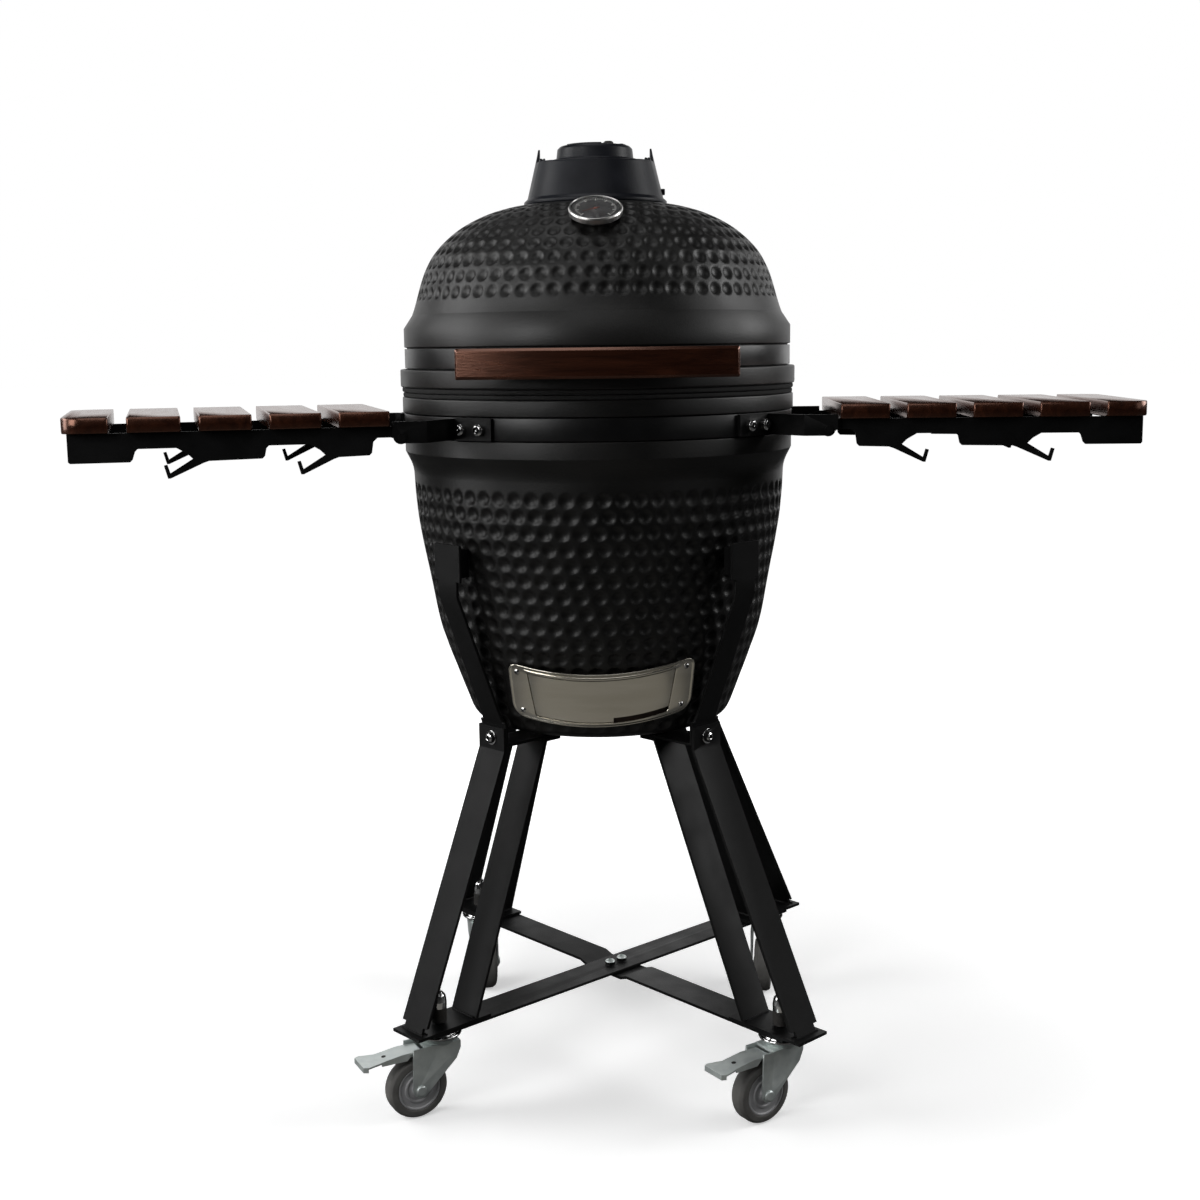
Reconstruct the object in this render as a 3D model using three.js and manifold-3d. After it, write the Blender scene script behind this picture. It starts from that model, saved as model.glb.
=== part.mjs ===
// Kamado ceramic grill on a four-legged steel cart with two folding side tables.
// Millimetres, +Z up, the front of the grill faces -Y, the ground is z = 0.
import * as THREE from 'three';
import Module from 'manifold-3d';

const wasm = await Module();
wasm.setup();

// ---------------------------------------------------------------- driving dimensions
const SEG = 48;               // facets round the big ceramic shells
const RIM_R = 262;            // radius of the lid's lowest ring, the widest ceramic
const BASE_TOP_Z = 914;       // top face of the lower shell
const LID_BOTTOM_Z = 922;     // bottom face of the lid
const BOWL_BOTTOM_Z = 472;    // underside of the lower shell
const CAP_BASE_Z = 1161;      // where the vent cone sits on the dome
const HINGE_Y = 292;          // lid hinge axis behind the shells
const HINGE_Z = 918;
const HANDLE_HALF = 167;      // half length of the handle bar
const HANDLE_FRONT = -310;    // front face of the bar at its middle
const HANDLE_DEPTH = 20.7;
const HANDLE_BOW = 650;       // radius that the bar is bowed to, seen from above
const HANDLE_Z0 = 942;
const HANDLE_Z1 = 978;
const FOOT_R = 311;           // caster stem distance from the body axis
const FOOT_Z = 115;           // underside of the foot plates
const STRAP = 50;             // width of the cart's flat bars
const STRAP_T = 4;            // thickness of the cart's flat bars
const WHEEL_R = 40;           // caster wheel radius
const TRAIL = 34;             // caster axle offset from its swivel axis
const TOE = { left: 15, right: 3 }; // degrees that each table's outer end points forward
// the cart is a little racked: its square of feet is turned and set over from the cradle
const CRADLE_YAW = -1.5;      // degrees that the cradle and the leg tops are turned
const FEET_YAW = -3;          // degrees that the square of feet is turned
const FEET_SHIFT = 16;        // how far the square of feet is set toward +X
const TABLE_TOP_Z = 906;
const SLAT_T = 18;
const SLAT_V0 = -192;         // front end of the slats
const SLAT_V1 = 82;           // rear end of the slats
const ROD_U = 292;            // table fold axis, outward from the body axis
const ROD_Z = 875;
const GAP = 0.3;              // working gap between pieces that touch

// ---------------------------------------------------------------- geometry helpers
function weld(geometry) {
  const source = geometry.index ? geometry.toNonIndexed() : geometry;
  const pos = source.attributes.position;
  const keys = new Map();
  const verts = [];
  const tris = [];
  const ids = [];
  for (let i = 0; i < pos.count; i += 1) {
    const x = Math.round(pos.getX(i) * 1e4) / 1e4;
    const y = Math.round(pos.getY(i) * 1e4) / 1e4;
    const z = Math.round(pos.getZ(i) * 1e4) / 1e4;
    const key = `${x},${y},${z}`;
    if (!keys.has(key)) {
      keys.set(key, verts.length / 3);
      verts.push(x, y, z);
    }
    ids.push(keys.get(key));
  }
  for (let i = 0; i < ids.length; i += 3) {
    const [a, b, c] = [ids[i], ids[i + 1], ids[i + 2]];
    if (a !== b && b !== c && c !== a) tris.push(a, b, c);
  }
  let volume = 0;
  const p = (k) => [verts[3 * k], verts[3 * k + 1], verts[3 * k + 2]];
  for (let i = 0; i < tris.length; i += 3) {
    const [a, b, c] = [p(tris[i]), p(tris[i + 1]), p(tris[i + 2])];
    volume += a[0] * (b[1] * c[2] - b[2] * c[1]);
    volume -= a[1] * (b[0] * c[2] - b[2] * c[0]);
    volume += a[2] * (b[0] * c[1] - b[1] * c[0]);
  }
  if (volume < 0) {
    for (let i = 0; i < tris.length; i += 3) {
      [tris[i], tris[i + 1]] = [tris[i + 1], tris[i]];
    }
  }
  return { verts, tris };
}

function solid(geometry) {
  const { verts, tris } = weld(geometry);
  return new wasm.Manifold(new wasm.Mesh({
    numProp: 3,
    vertProperties: new Float32Array(verts),
    triVerts: new Uint32Array(tris),
  }));
}

function toGeometry(manifold) {
  const mesh = manifold.getMesh();
  const geometry = new THREE.BufferGeometry();
  const n = mesh.vertProperties.length / mesh.numProp;
  const verts = new Float32Array(n * 3);
  for (let i = 0; i < n; i += 1) {
    for (let k = 0; k < 3; k += 1) verts[3 * i + k] = mesh.vertProperties[mesh.numProp * i + k];
  }
  geometry.setAttribute('position', new THREE.BufferAttribute(verts, 3));
  geometry.setIndex(new THREE.BufferAttribute(new Uint32Array(mesh.triVerts), 1));
  return geometry;
}

function union(parts) {
  let out = parts[0];
  for (const part of parts.slice(1)) out = out.add(part);
  return out;
}

// closed profile of [radius, z] pairs, turned about Z
function turned(profile, segments = SEG) {
  const points = profile.map(([r, z]) => new THREE.Vector2(r, z));
  if (profile[0][0] !== 0) points.push(points[0].clone());
  const geometry = new THREE.LatheGeometry(points, segments);
  geometry.rotateX(Math.PI / 2);
  return geometry;
}

function box(x0, x1, y0, y1, z0, z1) {
  const geometry = new THREE.BoxGeometry(x1 - x0, y1 - y0, z1 - z0);
  geometry.translate((x0 + x1) / 2, (y0 + y1) / 2, (z0 + z1) / 2);
  return geometry;
}

// cylinder between two points
function rod(a, b, radius, segments = 16) {
  const from = new THREE.Vector3(...a);
  const to = new THREE.Vector3(...b);
  const along = to.clone().sub(from);
  const geometry = new THREE.CylinderGeometry(radius, radius, along.length(), segments);
  const turn = new THREE.Quaternion().setFromUnitVectors(
    new THREE.Vector3(0, 1, 0),
    along.clone().normalize(),
  );
  geometry.applyQuaternion(turn);
  const mid = from.add(to).multiplyScalar(0.5);
  geometry.translate(mid.x, mid.y, mid.z);
  return geometry;
}

function shapeOf(points, holes = []) {
  const shape = new THREE.Shape(points.map(([x, y]) => new THREE.Vector2(x, y)));
  for (const hole of holes) {
    shape.holes.push(new THREE.Path(hole.map(([x, y]) => new THREE.Vector2(x, y))));
  }
  return shape;
}

// prism: outline in XY, from z0 to z1
function slab(points, z0, z1, holes = []) {
  const geometry = new THREE.ExtrudeGeometry(shapeOf(points, holes), {
    depth: z1 - z0,
    bevelEnabled: false,
    steps: 1,
  });
  geometry.translate(0, 0, z0);
  return geometry;
}

// prism: outline in XZ, from y0 to y1
function upright(points, y0, y1, holes = []) {
  const geometry = slab(points, 0, y1 - y0, holes);
  geometry.rotateX(Math.PI / 2);
  geometry.translate(0, y1, 0);
  return geometry;
}

// flat bar that follows a path in the XZ plane, `width` wide across Y
function strap(path, thickness, width) {
  const left = [];
  const right = [];
  for (let i = 0; i < path.length; i += 1) {
    const prev = path[Math.max(i - 1, 0)];
    const next = path[Math.min(i + 1, path.length - 1)];
    const d0 = norm2([path[i][0] - prev[0], path[i][1] - prev[1]]);
    const d1 = norm2([next[0] - path[i][0], next[1] - path[i][1]]);
    const a = i === 0 ? d1 : d0;
    const b = i === path.length - 1 ? d0 : d1;
    const n = norm2([-(a[1] + b[1]), a[0] + b[0]]);
    const scale = thickness / 2 / (n[0] * -a[1] + n[1] * a[0]);
    left.push([path[i][0] + n[0] * scale, path[i][1] + n[1] * scale]);
    right.push([path[i][0] - n[0] * scale, path[i][1] - n[1] * scale]);
  }
  return upright([...left, ...right.reverse()], -width / 2, width / 2);
}

function norm2([x, y]) {
  const len = Math.hypot(x, y) || 1;
  return [x / len, y / len];
}

function arcPoints(cx, cy, r, a0, a1, n) {
  const out = [];
  for (let i = 0; i <= n; i += 1) {
    const a = a0 + (a1 - a0) * i / n;
    out.push([cx + r * Math.cos(a), cy + r * Math.sin(a)]);
  }
  return out;
}

// wedge of a disc between two angles from the front (-Y), as a prism
function wedge(a0, a1, radius, z0, z1) {
  const deg = Math.PI / 180;
  const points = arcPoints(0, 0, radius, (a0 - 90) * deg, (a1 - 90) * deg, 12);
  return slab([[0, 0], ...points], z0, z1);
}

const group = new THREE.Group();
group.name = 'kamado_grill';

function add(name, body, look) {
  const manifold = body.getMesh ? body : solid(body);
  const geometry = toGeometry(manifold);
  geometry.computeVertexNormals();
  const material = new THREE.MeshStandardMaterial(look);
  const mesh = new THREE.Mesh(geometry, material);
  mesh.name = name;
  group.add(mesh);
}

const glaze = () => ({ color: 0x3a3a3a, roughness: 0.75, metalness: 0 });
const satinBlack = () => ({ color: 0x1b1b1c, roughness: 0.5, metalness: 0.3 });
const powder = () => ({ color: 0x161617, roughness: 0.6, metalness: 0.3 });
const clay = () => ({ color: 0xa98f77, roughness: 0.9, metalness: 0 });
const felt = () => ({ color: 0x111111, roughness: 1, metalness: 0 });
const steel = () => ({ color: 0xb9b4aa, roughness: 0.3, metalness: 1 });
const zinc = () => ({ color: 0x9fa39d, roughness: 0.35, metalness: 1 });
const iron = () => ({ color: 0x202226, roughness: 0.6, metalness: 0.5 });
const wood = () => ({ color: 0x5a2a1e, roughness: 0.4, metalness: 0 });
const rubber = () => ({ color: 0x4a4b4d, roughness: 0.8, metalness: 0 });

// ---------------------------------------------------------------- lower shell
const doorCone = (z) => 174 + 0.37 * (z - 490);
const bowlProfile = [
  [0, BOWL_BOTTOM_Z], [112, BOWL_BOTTOM_Z], [142, 475], [163, 481.5], [doorCone(490), 490],
  [doorCone(590), 590], [219, 619], [228, 673], [236.5, 716], [243, 754], [246, 798],
  [248, 821], [258, 840], [258, 857], [255, 857], [255, 892], [260, 892],
  [260, BASE_TOP_Z], [234, BASE_TOP_Z], [232, 892], [222, 800], [212, 716], [195, 619],
  [179, 568], [150, 503], [138, 498], [0, 498],
];
const bowl = solid(turned(bowlProfile))
  .subtract(solid(box(-86, 86, -240, -110, 518, 566)));
add('lower_shell', bowl, glaze());

add('lower_band', turned([[255 + GAP, 858.6], [258.2, 858.6], [258.2, 890], [255 + GAP, 890]]),
  satinBlack());
add('lower_gasket', turned([
  [236, BASE_TOP_Z + GAP], [257, BASE_TOP_Z + GAP], [257, 917.8], [236, 917.8],
]), felt());

// ---------------------------------------------------------------- fire parts inside
const fireBowl = solid(turned([
  [92, 498 + GAP], [132, 498 + GAP], [146, 512], [158, 540], [174, 576], [186, 620],
  [194, 690], [174, 690], [160, 600], [142, 600], [120, 534], [92, 516],
], 28)).subtract(solid(box(-80, 80, -220, -80, 514, 568)));
add('fire_bowl', fireBowl, clay());
add('fire_ring', turned([
  [176, 690 + GAP], [196, 690 + GAP], [214, 850], [194, 850],
], 32), clay());

function slotted(radius, z0, z1, pitch, slotWidth, edge, segments) {
  let plate = solid(turned([[0, z0], [radius, z0], [radius, z1], [0, z1]], segments));
  const inner = radius - edge;
  for (let y = -Math.floor(inner / pitch) * pitch; y < inner; y += pitch) {
    const reach = Math.sqrt(Math.max(inner ** 2 - (Math.abs(y) + slotWidth / 2) ** 2, 0));
    if (reach < 14) continue;
    const y0 = y - slotWidth / 2;
    const y1 = y + slotWidth / 2;
    plate = plate.subtract(solid(box(-reach, -4, y0, y1, z0 - 1, z1 + 1)));
    plate = plate.subtract(solid(box(4, reach, y0, y1, z0 - 1, z1 + 1)));
  }
  return plate;
}
add('charcoal_grate', slotted(152, 600 + GAP, 608, 22, 11, 12, 32), iron());
add('cooking_grate', slotted(224, 850 + GAP, 857, 20, 13, 10, 32), steel());

// ---------------------------------------------------------------- draft door in the lower shell
const DOOR_SEG = 96;
const FRAME_HALF_X = 116.5;      // the frame's side edges stand upright
const shellBand = (z0, z1, d0, d1) => turned([
  [doorCone(z0) + d0, z0], [doorCone(z0) + d1, z0],
  [doorCone(z1) + d1, z1], [doorCone(z1) + d0, z1],
], DOOR_SEG);
const framePart = solid(turned([
  [doorCone(496) + 0.5, 496], [doorCone(496) + 7.2, 496],
  [doorCone(588) + 7.2, 588], [doorCone(588) + 0.5, 588],
  [doorCone(584) + 0.5, 584], [doorCone(584) + 5.2, 584],
  [doorCone(500) + 5.2, 500], [doorCone(500) + 0.5, 500],
], DOOR_SEG)).intersect(solid(box(-FRAME_HALF_X, FRAME_HALF_X, -260, -100, 480, 600)));
const frameWindow = solid(wedge(-26.6, 26.6, 300, 508, 571));
const screws = [];
for (const side of [-1, 1]) {
  for (const z of [512, 575]) {
    const a = side * 30.6 * Math.PI / 180;
    const r0 = doorCone(z) + 6;
    const out = [Math.sin(a), -Math.cos(a)];
    screws.push(solid(rod(
      [out[0] * r0, out[1] * r0, z],
      [out[0] * (r0 + 3.6), out[1] * (r0 + 3.6), z - 1.3],
      3.6,
      10,
    )));
  }
}
add('door_frame', union([framePart.subtract(frameWindow), ...screws]), steel());
// the lower edge is cut back on one side to leave an air slot
const doorSlot = solid(wedge(4.6, 26.4, 300, 495, 515));
add('draft_door', solid(shellBand(501, 583, 2.4, 4.4))
  .intersect(solid(wedge(-31, 31, 300, 480, 600)))
  .subtract(doorSlot), steel());
let screen = solid(shellBand(501, 583, 0.6, 1.6))
  .intersect(solid(wedge(-31, 31, 300, 480, 600)));
for (let a = -25; a <= 25; a += 5) {
  screen = screen.subtract(solid(wedge(a - 1.6, a + 1.6, 300, 518, 564)));
}
add('ash_screen', screen, steel());

// ---------------------------------------------------------------- lid
const domeProfile = [
  [60, 1140], [125, 1131], [158, 1115], [190, 1087], [208, 1056], [219, 1020], [226, 990],
  [234, 950], [236, LID_BOTTOM_Z], [RIM_R, LID_BOTTOM_Z], [RIM_R, 951.5], [252.5, 951.5],
  [252.5, 979.5], [256, 979.5], [256, 1004], [244.6, 1021], [240.3, 1031], [230, 1067],
  [211, 1103], [173.5, 1135], [136.5, 1152], [100, CAP_BASE_Z - GAP], [60, 1163.5],
];
// the vent cone stands on a flat seat turned into the crown
domeProfile.splice(-2, 2, [97, 1160.5], [60, 1160.5]);
const THERM = { y: -176, z: 1133, tilt: 60 * Math.PI / 180 };
const thermAxis = [0, -Math.cos(THERM.tilt), Math.sin(THERM.tilt)];
const thermAt = (d) => [0, THERM.y + thermAxis[1] * d, THERM.z + thermAxis[2] * d];
const dome = solid(turned(domeProfile))
  .subtract(solid(rod(thermAt(-60), thermAt(20), 6, 12)));
add('lid_dome', dome, glaze());
add('lid_gasket', turned([
  [238, 918.2], [258, 918.2], [258, LID_BOTTOM_Z - GAP], [238, LID_BOTTOM_Z - GAP],
]), felt());
// the lid band carries the two handle brackets
const bandRing = solid(turned([[252.5 + GAP, 953], [255.6, 953], [255.6, 978], [252.5 + GAP, 978]]));
const postParts = [];
const POST_X = 118;
const PLATE_HALF = 16;
const PLATE_T = 4;
const PLATE_CLEAR = 0.7;        // gap between the plate and the bar
const bowBack = HANDLE_BOW - HANDLE_DEPTH;
// a point of the bowed bar, from its distance to the bow's centre and its angle there
const bowed = (r, angle) => [r * Math.sin(angle), HANDLE_FRONT + HANDLE_BOW - r * Math.cos(angle)];
const plateFront = bowBack - PLATE_CLEAR;
const plateBack = plateFront - PLATE_T;
for (const side of [-1, 1]) {
  const x = side * POST_X;
  // channel-shaped post: two cheeks from the band and a plate behind the bar
  for (const dx of [-11, 8]) {
    // each cheek ends half way into the bowed plate
    const reach = Math.sqrt((plateBack + PLATE_T / 2) ** 2 - (x + dx + 1.5) ** 2);
    const cheekFront = HANDLE_FRONT + HANDLE_BOW - reach;
    postParts.push(solid(box(x + dx, x + dx + 3, cheekFront, -210, 955, 967))
      .subtract(solid(turned([[0, 900], [254.5, 900], [254.5, 1000], [0, 1000]]))));
  }
  const middle = side * Math.asin(POST_X / bowBack);
  const across = PLATE_HALF / bowBack;
  const plateOutline = [
    bowed(plateFront, middle - across), bowed(plateFront, middle + across),
    bowed(plateBack, middle + across), bowed(plateBack, middle - across),
  ];
  postParts.push(solid(slab(plateOutline, 950, 972)));
}
add('lid_band', union([bandRing, ...postParts]), satinBlack());
const BAR_STEPS = 16;
const barEnd = Math.asin(HANDLE_HALF / HANDLE_BOW);
const barOutline = [];
for (let i = 0; i <= BAR_STEPS; i += 1) {
  barOutline.push(bowed(HANDLE_BOW, -barEnd + 2 * barEnd * i / BAR_STEPS));
}
for (let i = BAR_STEPS; i >= 0; i -= 1) {
  barOutline.push(bowed(bowBack, -barEnd + 2 * barEnd * i / BAR_STEPS));
}
add('handle_bar', solid(slab(barOutline, HANDLE_Z0, HANDLE_Z1)), wood());

// thermometer: dial case with its stem through the lid
const thermGeo = turned([
  [0, -48], [3, -46], [3, 1], [9, 2], [9, 5], [31, 6.5], [34, 8.5], [34, 12.5], [31.5, 14.5], [0, 13],
], 24);
const thermTurn = new THREE.Matrix4().makeRotationX(Math.PI / 2 - THERM.tilt);
thermGeo.applyMatrix4(thermTurn);
thermGeo.translate(...thermAt(0));
add('thermometer', thermGeo, steel());

// ---------------------------------------------------------------- top vent
const RIM_Z = 1214;           // top of the cone's low front rim
const FLOOR_Z = 1205;         // top of the cone's floor, where the disc turns
const coneBody = solid(turned([
  [66, CAP_BASE_Z], [94, CAP_BASE_Z], [94, 1166], [77, RIM_Z], [72, RIM_Z], [72.4, FLOOR_Z],
  [20, FLOOR_Z], [20, FLOOR_Z - 5], [76, FLOOR_Z - 5], [85, 1168], [66, 1166],
], 28));
const ports = [];
for (let k = 0; k < 3; k += 1) {
  const a = k * 120;
  ports.push(solid(wedge(a + 8, a + 62, 50, 1195, FLOOR_Z + 5)));
}
const spikes = [];
for (const base of [0, Math.PI]) {
  for (const [offset, height] of [[-0.62, 7], [-0.3, 12], [0.05, 20], [0.38, 12], [0.68, 8]]) {
    const a = base + offset * (base === 0 ? 1 : -1);
    const tooth = slab([[-8, -2], [8, -2], [8, 2], [-8, 2]], 0, 1);
    const pos = tooth.attributes.position;
    for (let i = 0; i < pos.count; i += 1) {
      if (pos.getZ(i) > 0.5) {
        pos.setX(i, pos.getX(i) * 0.3);
        pos.setY(i, pos.getY(i) * 0.5);
      }
    }
    tooth.scale(1, 1, height + 4);
    tooth.rotateZ(a + Math.PI / 2);
    tooth.translate(74.6 * Math.cos(a), 74.6 * Math.sin(a), RIM_Z - 4);
    spikes.push(solid(tooth));
  }
}
const lug = solid(box(86, 92, -5, 5, 1174, 1182));
const centreHub = solid(rod([0, 0, FLOOR_Z - 5], [0, 0, FLOOR_Z + 15], 6, 12));
const cone = union([coneBody, ...spikes, lug])
  .subtract(ports[0]).subtract(ports[1]).subtract(ports[2])
  .add(centreHub)
  .add(solid(turned([
    [0, FLOOR_Z - 5], [21, FLOOR_Z - 5], [21, FLOOR_Z], [0, FLOOR_Z],
  ], 24)));
add('vent_cone', cone, iron());

const discBody = solid(turned([
  [6.5, FLOOR_Z + 0.5], [60, FLOOR_Z + 0.5], [60, 1217], [57, 1219], [50.5, 1219], [49, 1233],
  [46, 1236.5], [12, 1238.5], [0, 1238.5], [0, 1222], [6.5, 1222],
], 20));
const discHollow = solid(turned([
  [12, 1210.5], [46, 1210.5], [44.5, 1231], [12, 1233],
], 20));
let disc = discBody.subtract(discHollow);
for (let k = 0; k < 3; k += 1) {
  const a = k * 120;
  const cut = solid(wedge(a + 8, a + 62, 44, 1203, 1212))
    .subtract(solid(turned([[0, 1200], [14, 1200], [14, 1216], [0, 1216]], 24)));
  disc = disc.subtract(cut);
  const top = solid(wedge(a + 12, a + 58, 39, 1230, 1244))
    .subtract(solid(turned([[0, 1230], [15, 1230], [15, 1246], [0, 1246]], 24)));
  disc = disc.subtract(top);
}
const knob = solid(turned([
  [0, 1236], [4, 1236], [6, 1239], [6, 1244], [4.5, 1245.5], [0, 1245.5],
], 12).translate(18, 12, 0));
add('vent_disc', disc.add(knob), iron());

// ---------------------------------------------------------------- lid hinge at the rear
function hingeEar(x0, x1, zBand0, zBand1, yBand) {
  const deg = Math.PI / 180;
  const outline = [
    [yBand, zBand0], ...arcPoints(HINGE_Y, HINGE_Z, 14, -80 * deg, 80 * deg, 8), [yBand, zBand1],
  ];
  const geometry = slab(outline, 0, x1 - x0);
  // outline (y, z) extruded along x
  const m = new THREE.Matrix4().set(
    0, 0, 1, x0,
    1, 0, 0, 0,
    0, 1, 0, 0,
    0, 0, 0, 1,
  );
  geometry.applyMatrix4(m);
  return geometry;
}
const pinHole = solid(rod([-90, HINGE_Y, HINGE_Z], [90, HINGE_Y, HINGE_Z], 5.1, 16));
const rearCut = (r) => solid(turned([[0, 700], [r, 700], [r, 1100], [0, 1100]], SEG));
const baseEars = [];
const lidEars = [];
for (const side of [-1, 1]) {
  const e0 = side > 0 ? 60 : -64;
  baseEars.push(solid(hingeEar(e0, e0 + 4, 862, 889, 248)));
  const l0 = side > 0 ? 52 : -56;
  lidEars.push(solid(hingeEar(l0, l0 + 4, 955, 976, 246)));
}
const basePlate = solid(turned([[258.2 + GAP, 862], [262.5, 862], [262.5, 888], [258.2 + GAP, 888]]))
  .intersect(solid(wedge(180 - 17, 180 + 17, 300, 850, 900)));
const lidPlate = solid(turned([[255.6 + GAP, 955], [260, 955], [260, 976], [255.6 + GAP, 976]]))
  .intersect(solid(wedge(180 - 15, 180 + 15, 300, 940, 990)));
const rearStop = solid(box(-64, 64, 304, 310, 880, 893));
add('hinge_base', union([...baseEars, basePlate])
  .subtract(rearCut(258.2 + GAP).intersect(solid(box(-80, 80, 200, 270, 850, 895))))
  .subtract(rearCut(264.5).intersect(solid(box(-80, 80, 200, 270, 890, 960))))
  .subtract(pinHole)
  .add(rearStop.add(solid(box(60, 64, 280, 306, 880, 893))).add(solid(box(-64, -60, 280, 306, 880, 893)))
    .subtract(pinHole)), satinBlack());
add('hinge_lid', union([...lidEars, lidPlate])
  .subtract(rearCut(255.6 + GAP))
  .subtract(rearCut(264.5).intersect(solid(box(-80, 80, 200, 270, 900, 953.5))))
  .subtract(pinHole), satinBlack());
add('hinge_pin', union([
  solid(rod([-68, HINGE_Y, HINGE_Z], [68, HINGE_Y, HINGE_Z], 5, 16)),
  solid(rod([-70.5, HINGE_Y, HINGE_Z], [-64 - GAP, HINGE_Y, HINGE_Z], 8, 12)),
  solid(rod([64 + GAP, HINGE_Y, HINGE_Z], [70.5, HINGE_Y, HINGE_Z], 8, 12)),
]), steel());

class Coil extends THREE.Curve {
  constructor(x0, x1, radius, turns) {
    super();
    Object.assign(this, { x0, x1, radius, turns });
  }

  getPoint(t, target = new THREE.Vector3()) {
    const a = t * this.turns * 2 * Math.PI;
    return target.set(
      this.x0 + (this.x1 - this.x0) * t,
      HINGE_Y + this.radius * Math.cos(a),
      HINGE_Z + this.radius * Math.sin(a),
    );
  }
}
function spring(x0, x1) {
  const section = shapeOf(arcPoints(0, 0, 1.8, 0, 2 * Math.PI * 4 / 5, 4));
  return new THREE.ExtrudeGeometry(section, {
    steps: 36,
    bevelEnabled: false,
    extrudePath: new Coil(x0, x1, 8.4, 4.5),
  });
}
add('hinge_spring_left', spring(-46, -14), zinc());
add('hinge_spring_right', spring(14, 46), zinc());

// ---------------------------------------------------------------- cart
const corners = [
  ['front_left', -1, -1], ['front_right', 1, -1], ['rear_left', -1, 1], ['rear_right', 1, 1],
];
const LEG_TOP = 462;          // height at which the leg bars start to splay
const LEG_END = FOOT_Z + 3;   // height of their middle line where they end in the foot plate
const degrees = (angle) => angle * Math.PI / 180;
const footAt = (sx, sy) => {
  const angle = Math.atan2(sy, sx) + degrees(FEET_YAW);
  return [FOOT_R * Math.cos(angle) + FEET_SHIFT, FOOT_R * Math.sin(angle)];
};
for (const [where, sx, sy] of corners) {
  const heading = Math.atan2(sy, sx) + degrees(CRADLE_YAW);
  const foot = footAt(sx, sy);
  const slip = [foot[0] - FOOT_R * Math.cos(heading), foot[1] - FOOT_R * Math.sin(heading)];
  // a piece of the leg, turned into place and leaned over toward its own foot
  const leaned = (geometry) => {
    geometry.rotateZ(heading);
    const points = geometry.attributes.position;
    for (let i = 0; i < points.count; i += 1) {
      const down = (LEG_TOP - points.getZ(i)) / (LEG_TOP - LEG_END);
      const share = Math.min(1, Math.max(0, down));
      points.setX(i, points.getX(i) + slip[0] * share);
      points.setY(i, points.getY(i) + slip[1] * share);
    }
    return solid(geometry);
  };
  // the cradle strap follows the shell, then turns in beneath it to carry it
  const cradlePath = [[262, 737], [262, 671], [192, 495], [192, 469.5], [70, 469.5]];
  const cradleBar = solid(strap(cradlePath, STRAP_T, STRAP));
  const waist = [];
  for (const s of [-1, 1]) {
    waist.push(solid(slab([
      [190, s * 40], [190, s * 22], [199, s * 18], [300, s * 18], [300, s * 40],
    ], 500, 690)));
  }
  const pad = solid(box(240.5, 261, -15, 15, 694, 730));
  const cradle = cradleBar.subtract(waist[0]).subtract(waist[1]).add(pad);
  add(`cradle_${where}`, cradle.rotate([0, 0, heading * 180 / Math.PI]), powder());
  // the leg: outer bar, foot plate and inner bar in one welded piece
  const outer = leaned(strap([[196.3, 493], [196.3, LEG_TOP], [352, LEG_END]], STRAP_T, STRAP));
  const inner = leaned(strap([[100, 465.2], [126, 465.2], [268, LEG_END]], STRAP_T, STRAP));
  const plate = leaned(box(246, 364, -27, 27, FOOT_Z, FOOT_Z + STRAP_T));
  const necks = [];
  for (const s of [-1, 1]) {
    necks.push(leaned(slab([
      [320, s * 18], [360, s * 18], [360, s * 40], [320, s * 40],
    ], FOOT_Z + STRAP_T + 0.1, FOOT_Z + STRAP_T + 9)));
  }
  const bolt = leaned(rod([197, 0, 478], [203, 0, 478], 7.5, 12));
  const stemHole = solid(rod([...foot, 100], [...foot, 140], 6.6, 12));
  const shaped = outer.subtract(necks[0]).subtract(necks[1]);
  add(`leg_${where}`, union([shaped, inner, plate, bolt]).subtract(stemHole), powder());
}

// the two crossbars lie under the foot plates; the lower one dips where they cross
const barTop = FOOT_Z - GAP;
const barMid = barTop - STRAP_T / 2;
const dip = STRAP_T + GAP;
const upperHoles = [];
for (const side of [-1, 1]) {
  upperHoles.push(solid(rod([side * FOOT_R, 0, 90], [side * FOOT_R, 0, 140], 6.6, 12)));
}
const spin = (geometry, angle) => geometry.rotateZ(angle);
const upperBar = solid(box(-336, 336, -STRAP / 2, STRAP / 2, barTop - STRAP_T, barTop))
  .subtract(upperHoles[0]).subtract(upperHoles[1])
  .add(solid(rod([-11, 0, barTop - 1], [-11, 0, barTop + 5], 7, 12)))
  .add(solid(rod([11, 0, barTop - 1], [11, 0, barTop + 5], 7, 12)))
  .add(solid(rod([-11, 0, barTop - 12], [-11, 0, barTop - 1], 4, 12)))
  .add(solid(rod([11, 0, barTop - 12], [11, 0, barTop - 1], 4, 12)));
const lowerBar = solid(strap([
  [-336, barMid], [-48, barMid], [-36, barMid - dip], [36, barMid - dip], [48, barMid],
  [336, barMid],
], STRAP_T, STRAP))
  .subtract(upperHoles[0]).subtract(upperHoles[1]);
const upperHeading = degrees(45 + FEET_YAW);
const boltClear = [];
for (const x of [-11, 11]) {
  boltClear.push(solid(spin(rod([x, 0, barTop - 20], [x, 0, barTop], 4.4, 12),
    upperHeading)));
}
add('crossbar_upper', upperBar.rotate([0, 0, 45 + FEET_YAW]).translate([FEET_SHIFT, 0, 0]),
  powder());
add('crossbar_lower', lowerBar.rotate([0, 0, -45 + FEET_YAW]).subtract(boltClear[0])
  .subtract(boltClear[1]).translate([FEET_SHIFT, 0, 0]), powder());

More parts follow.
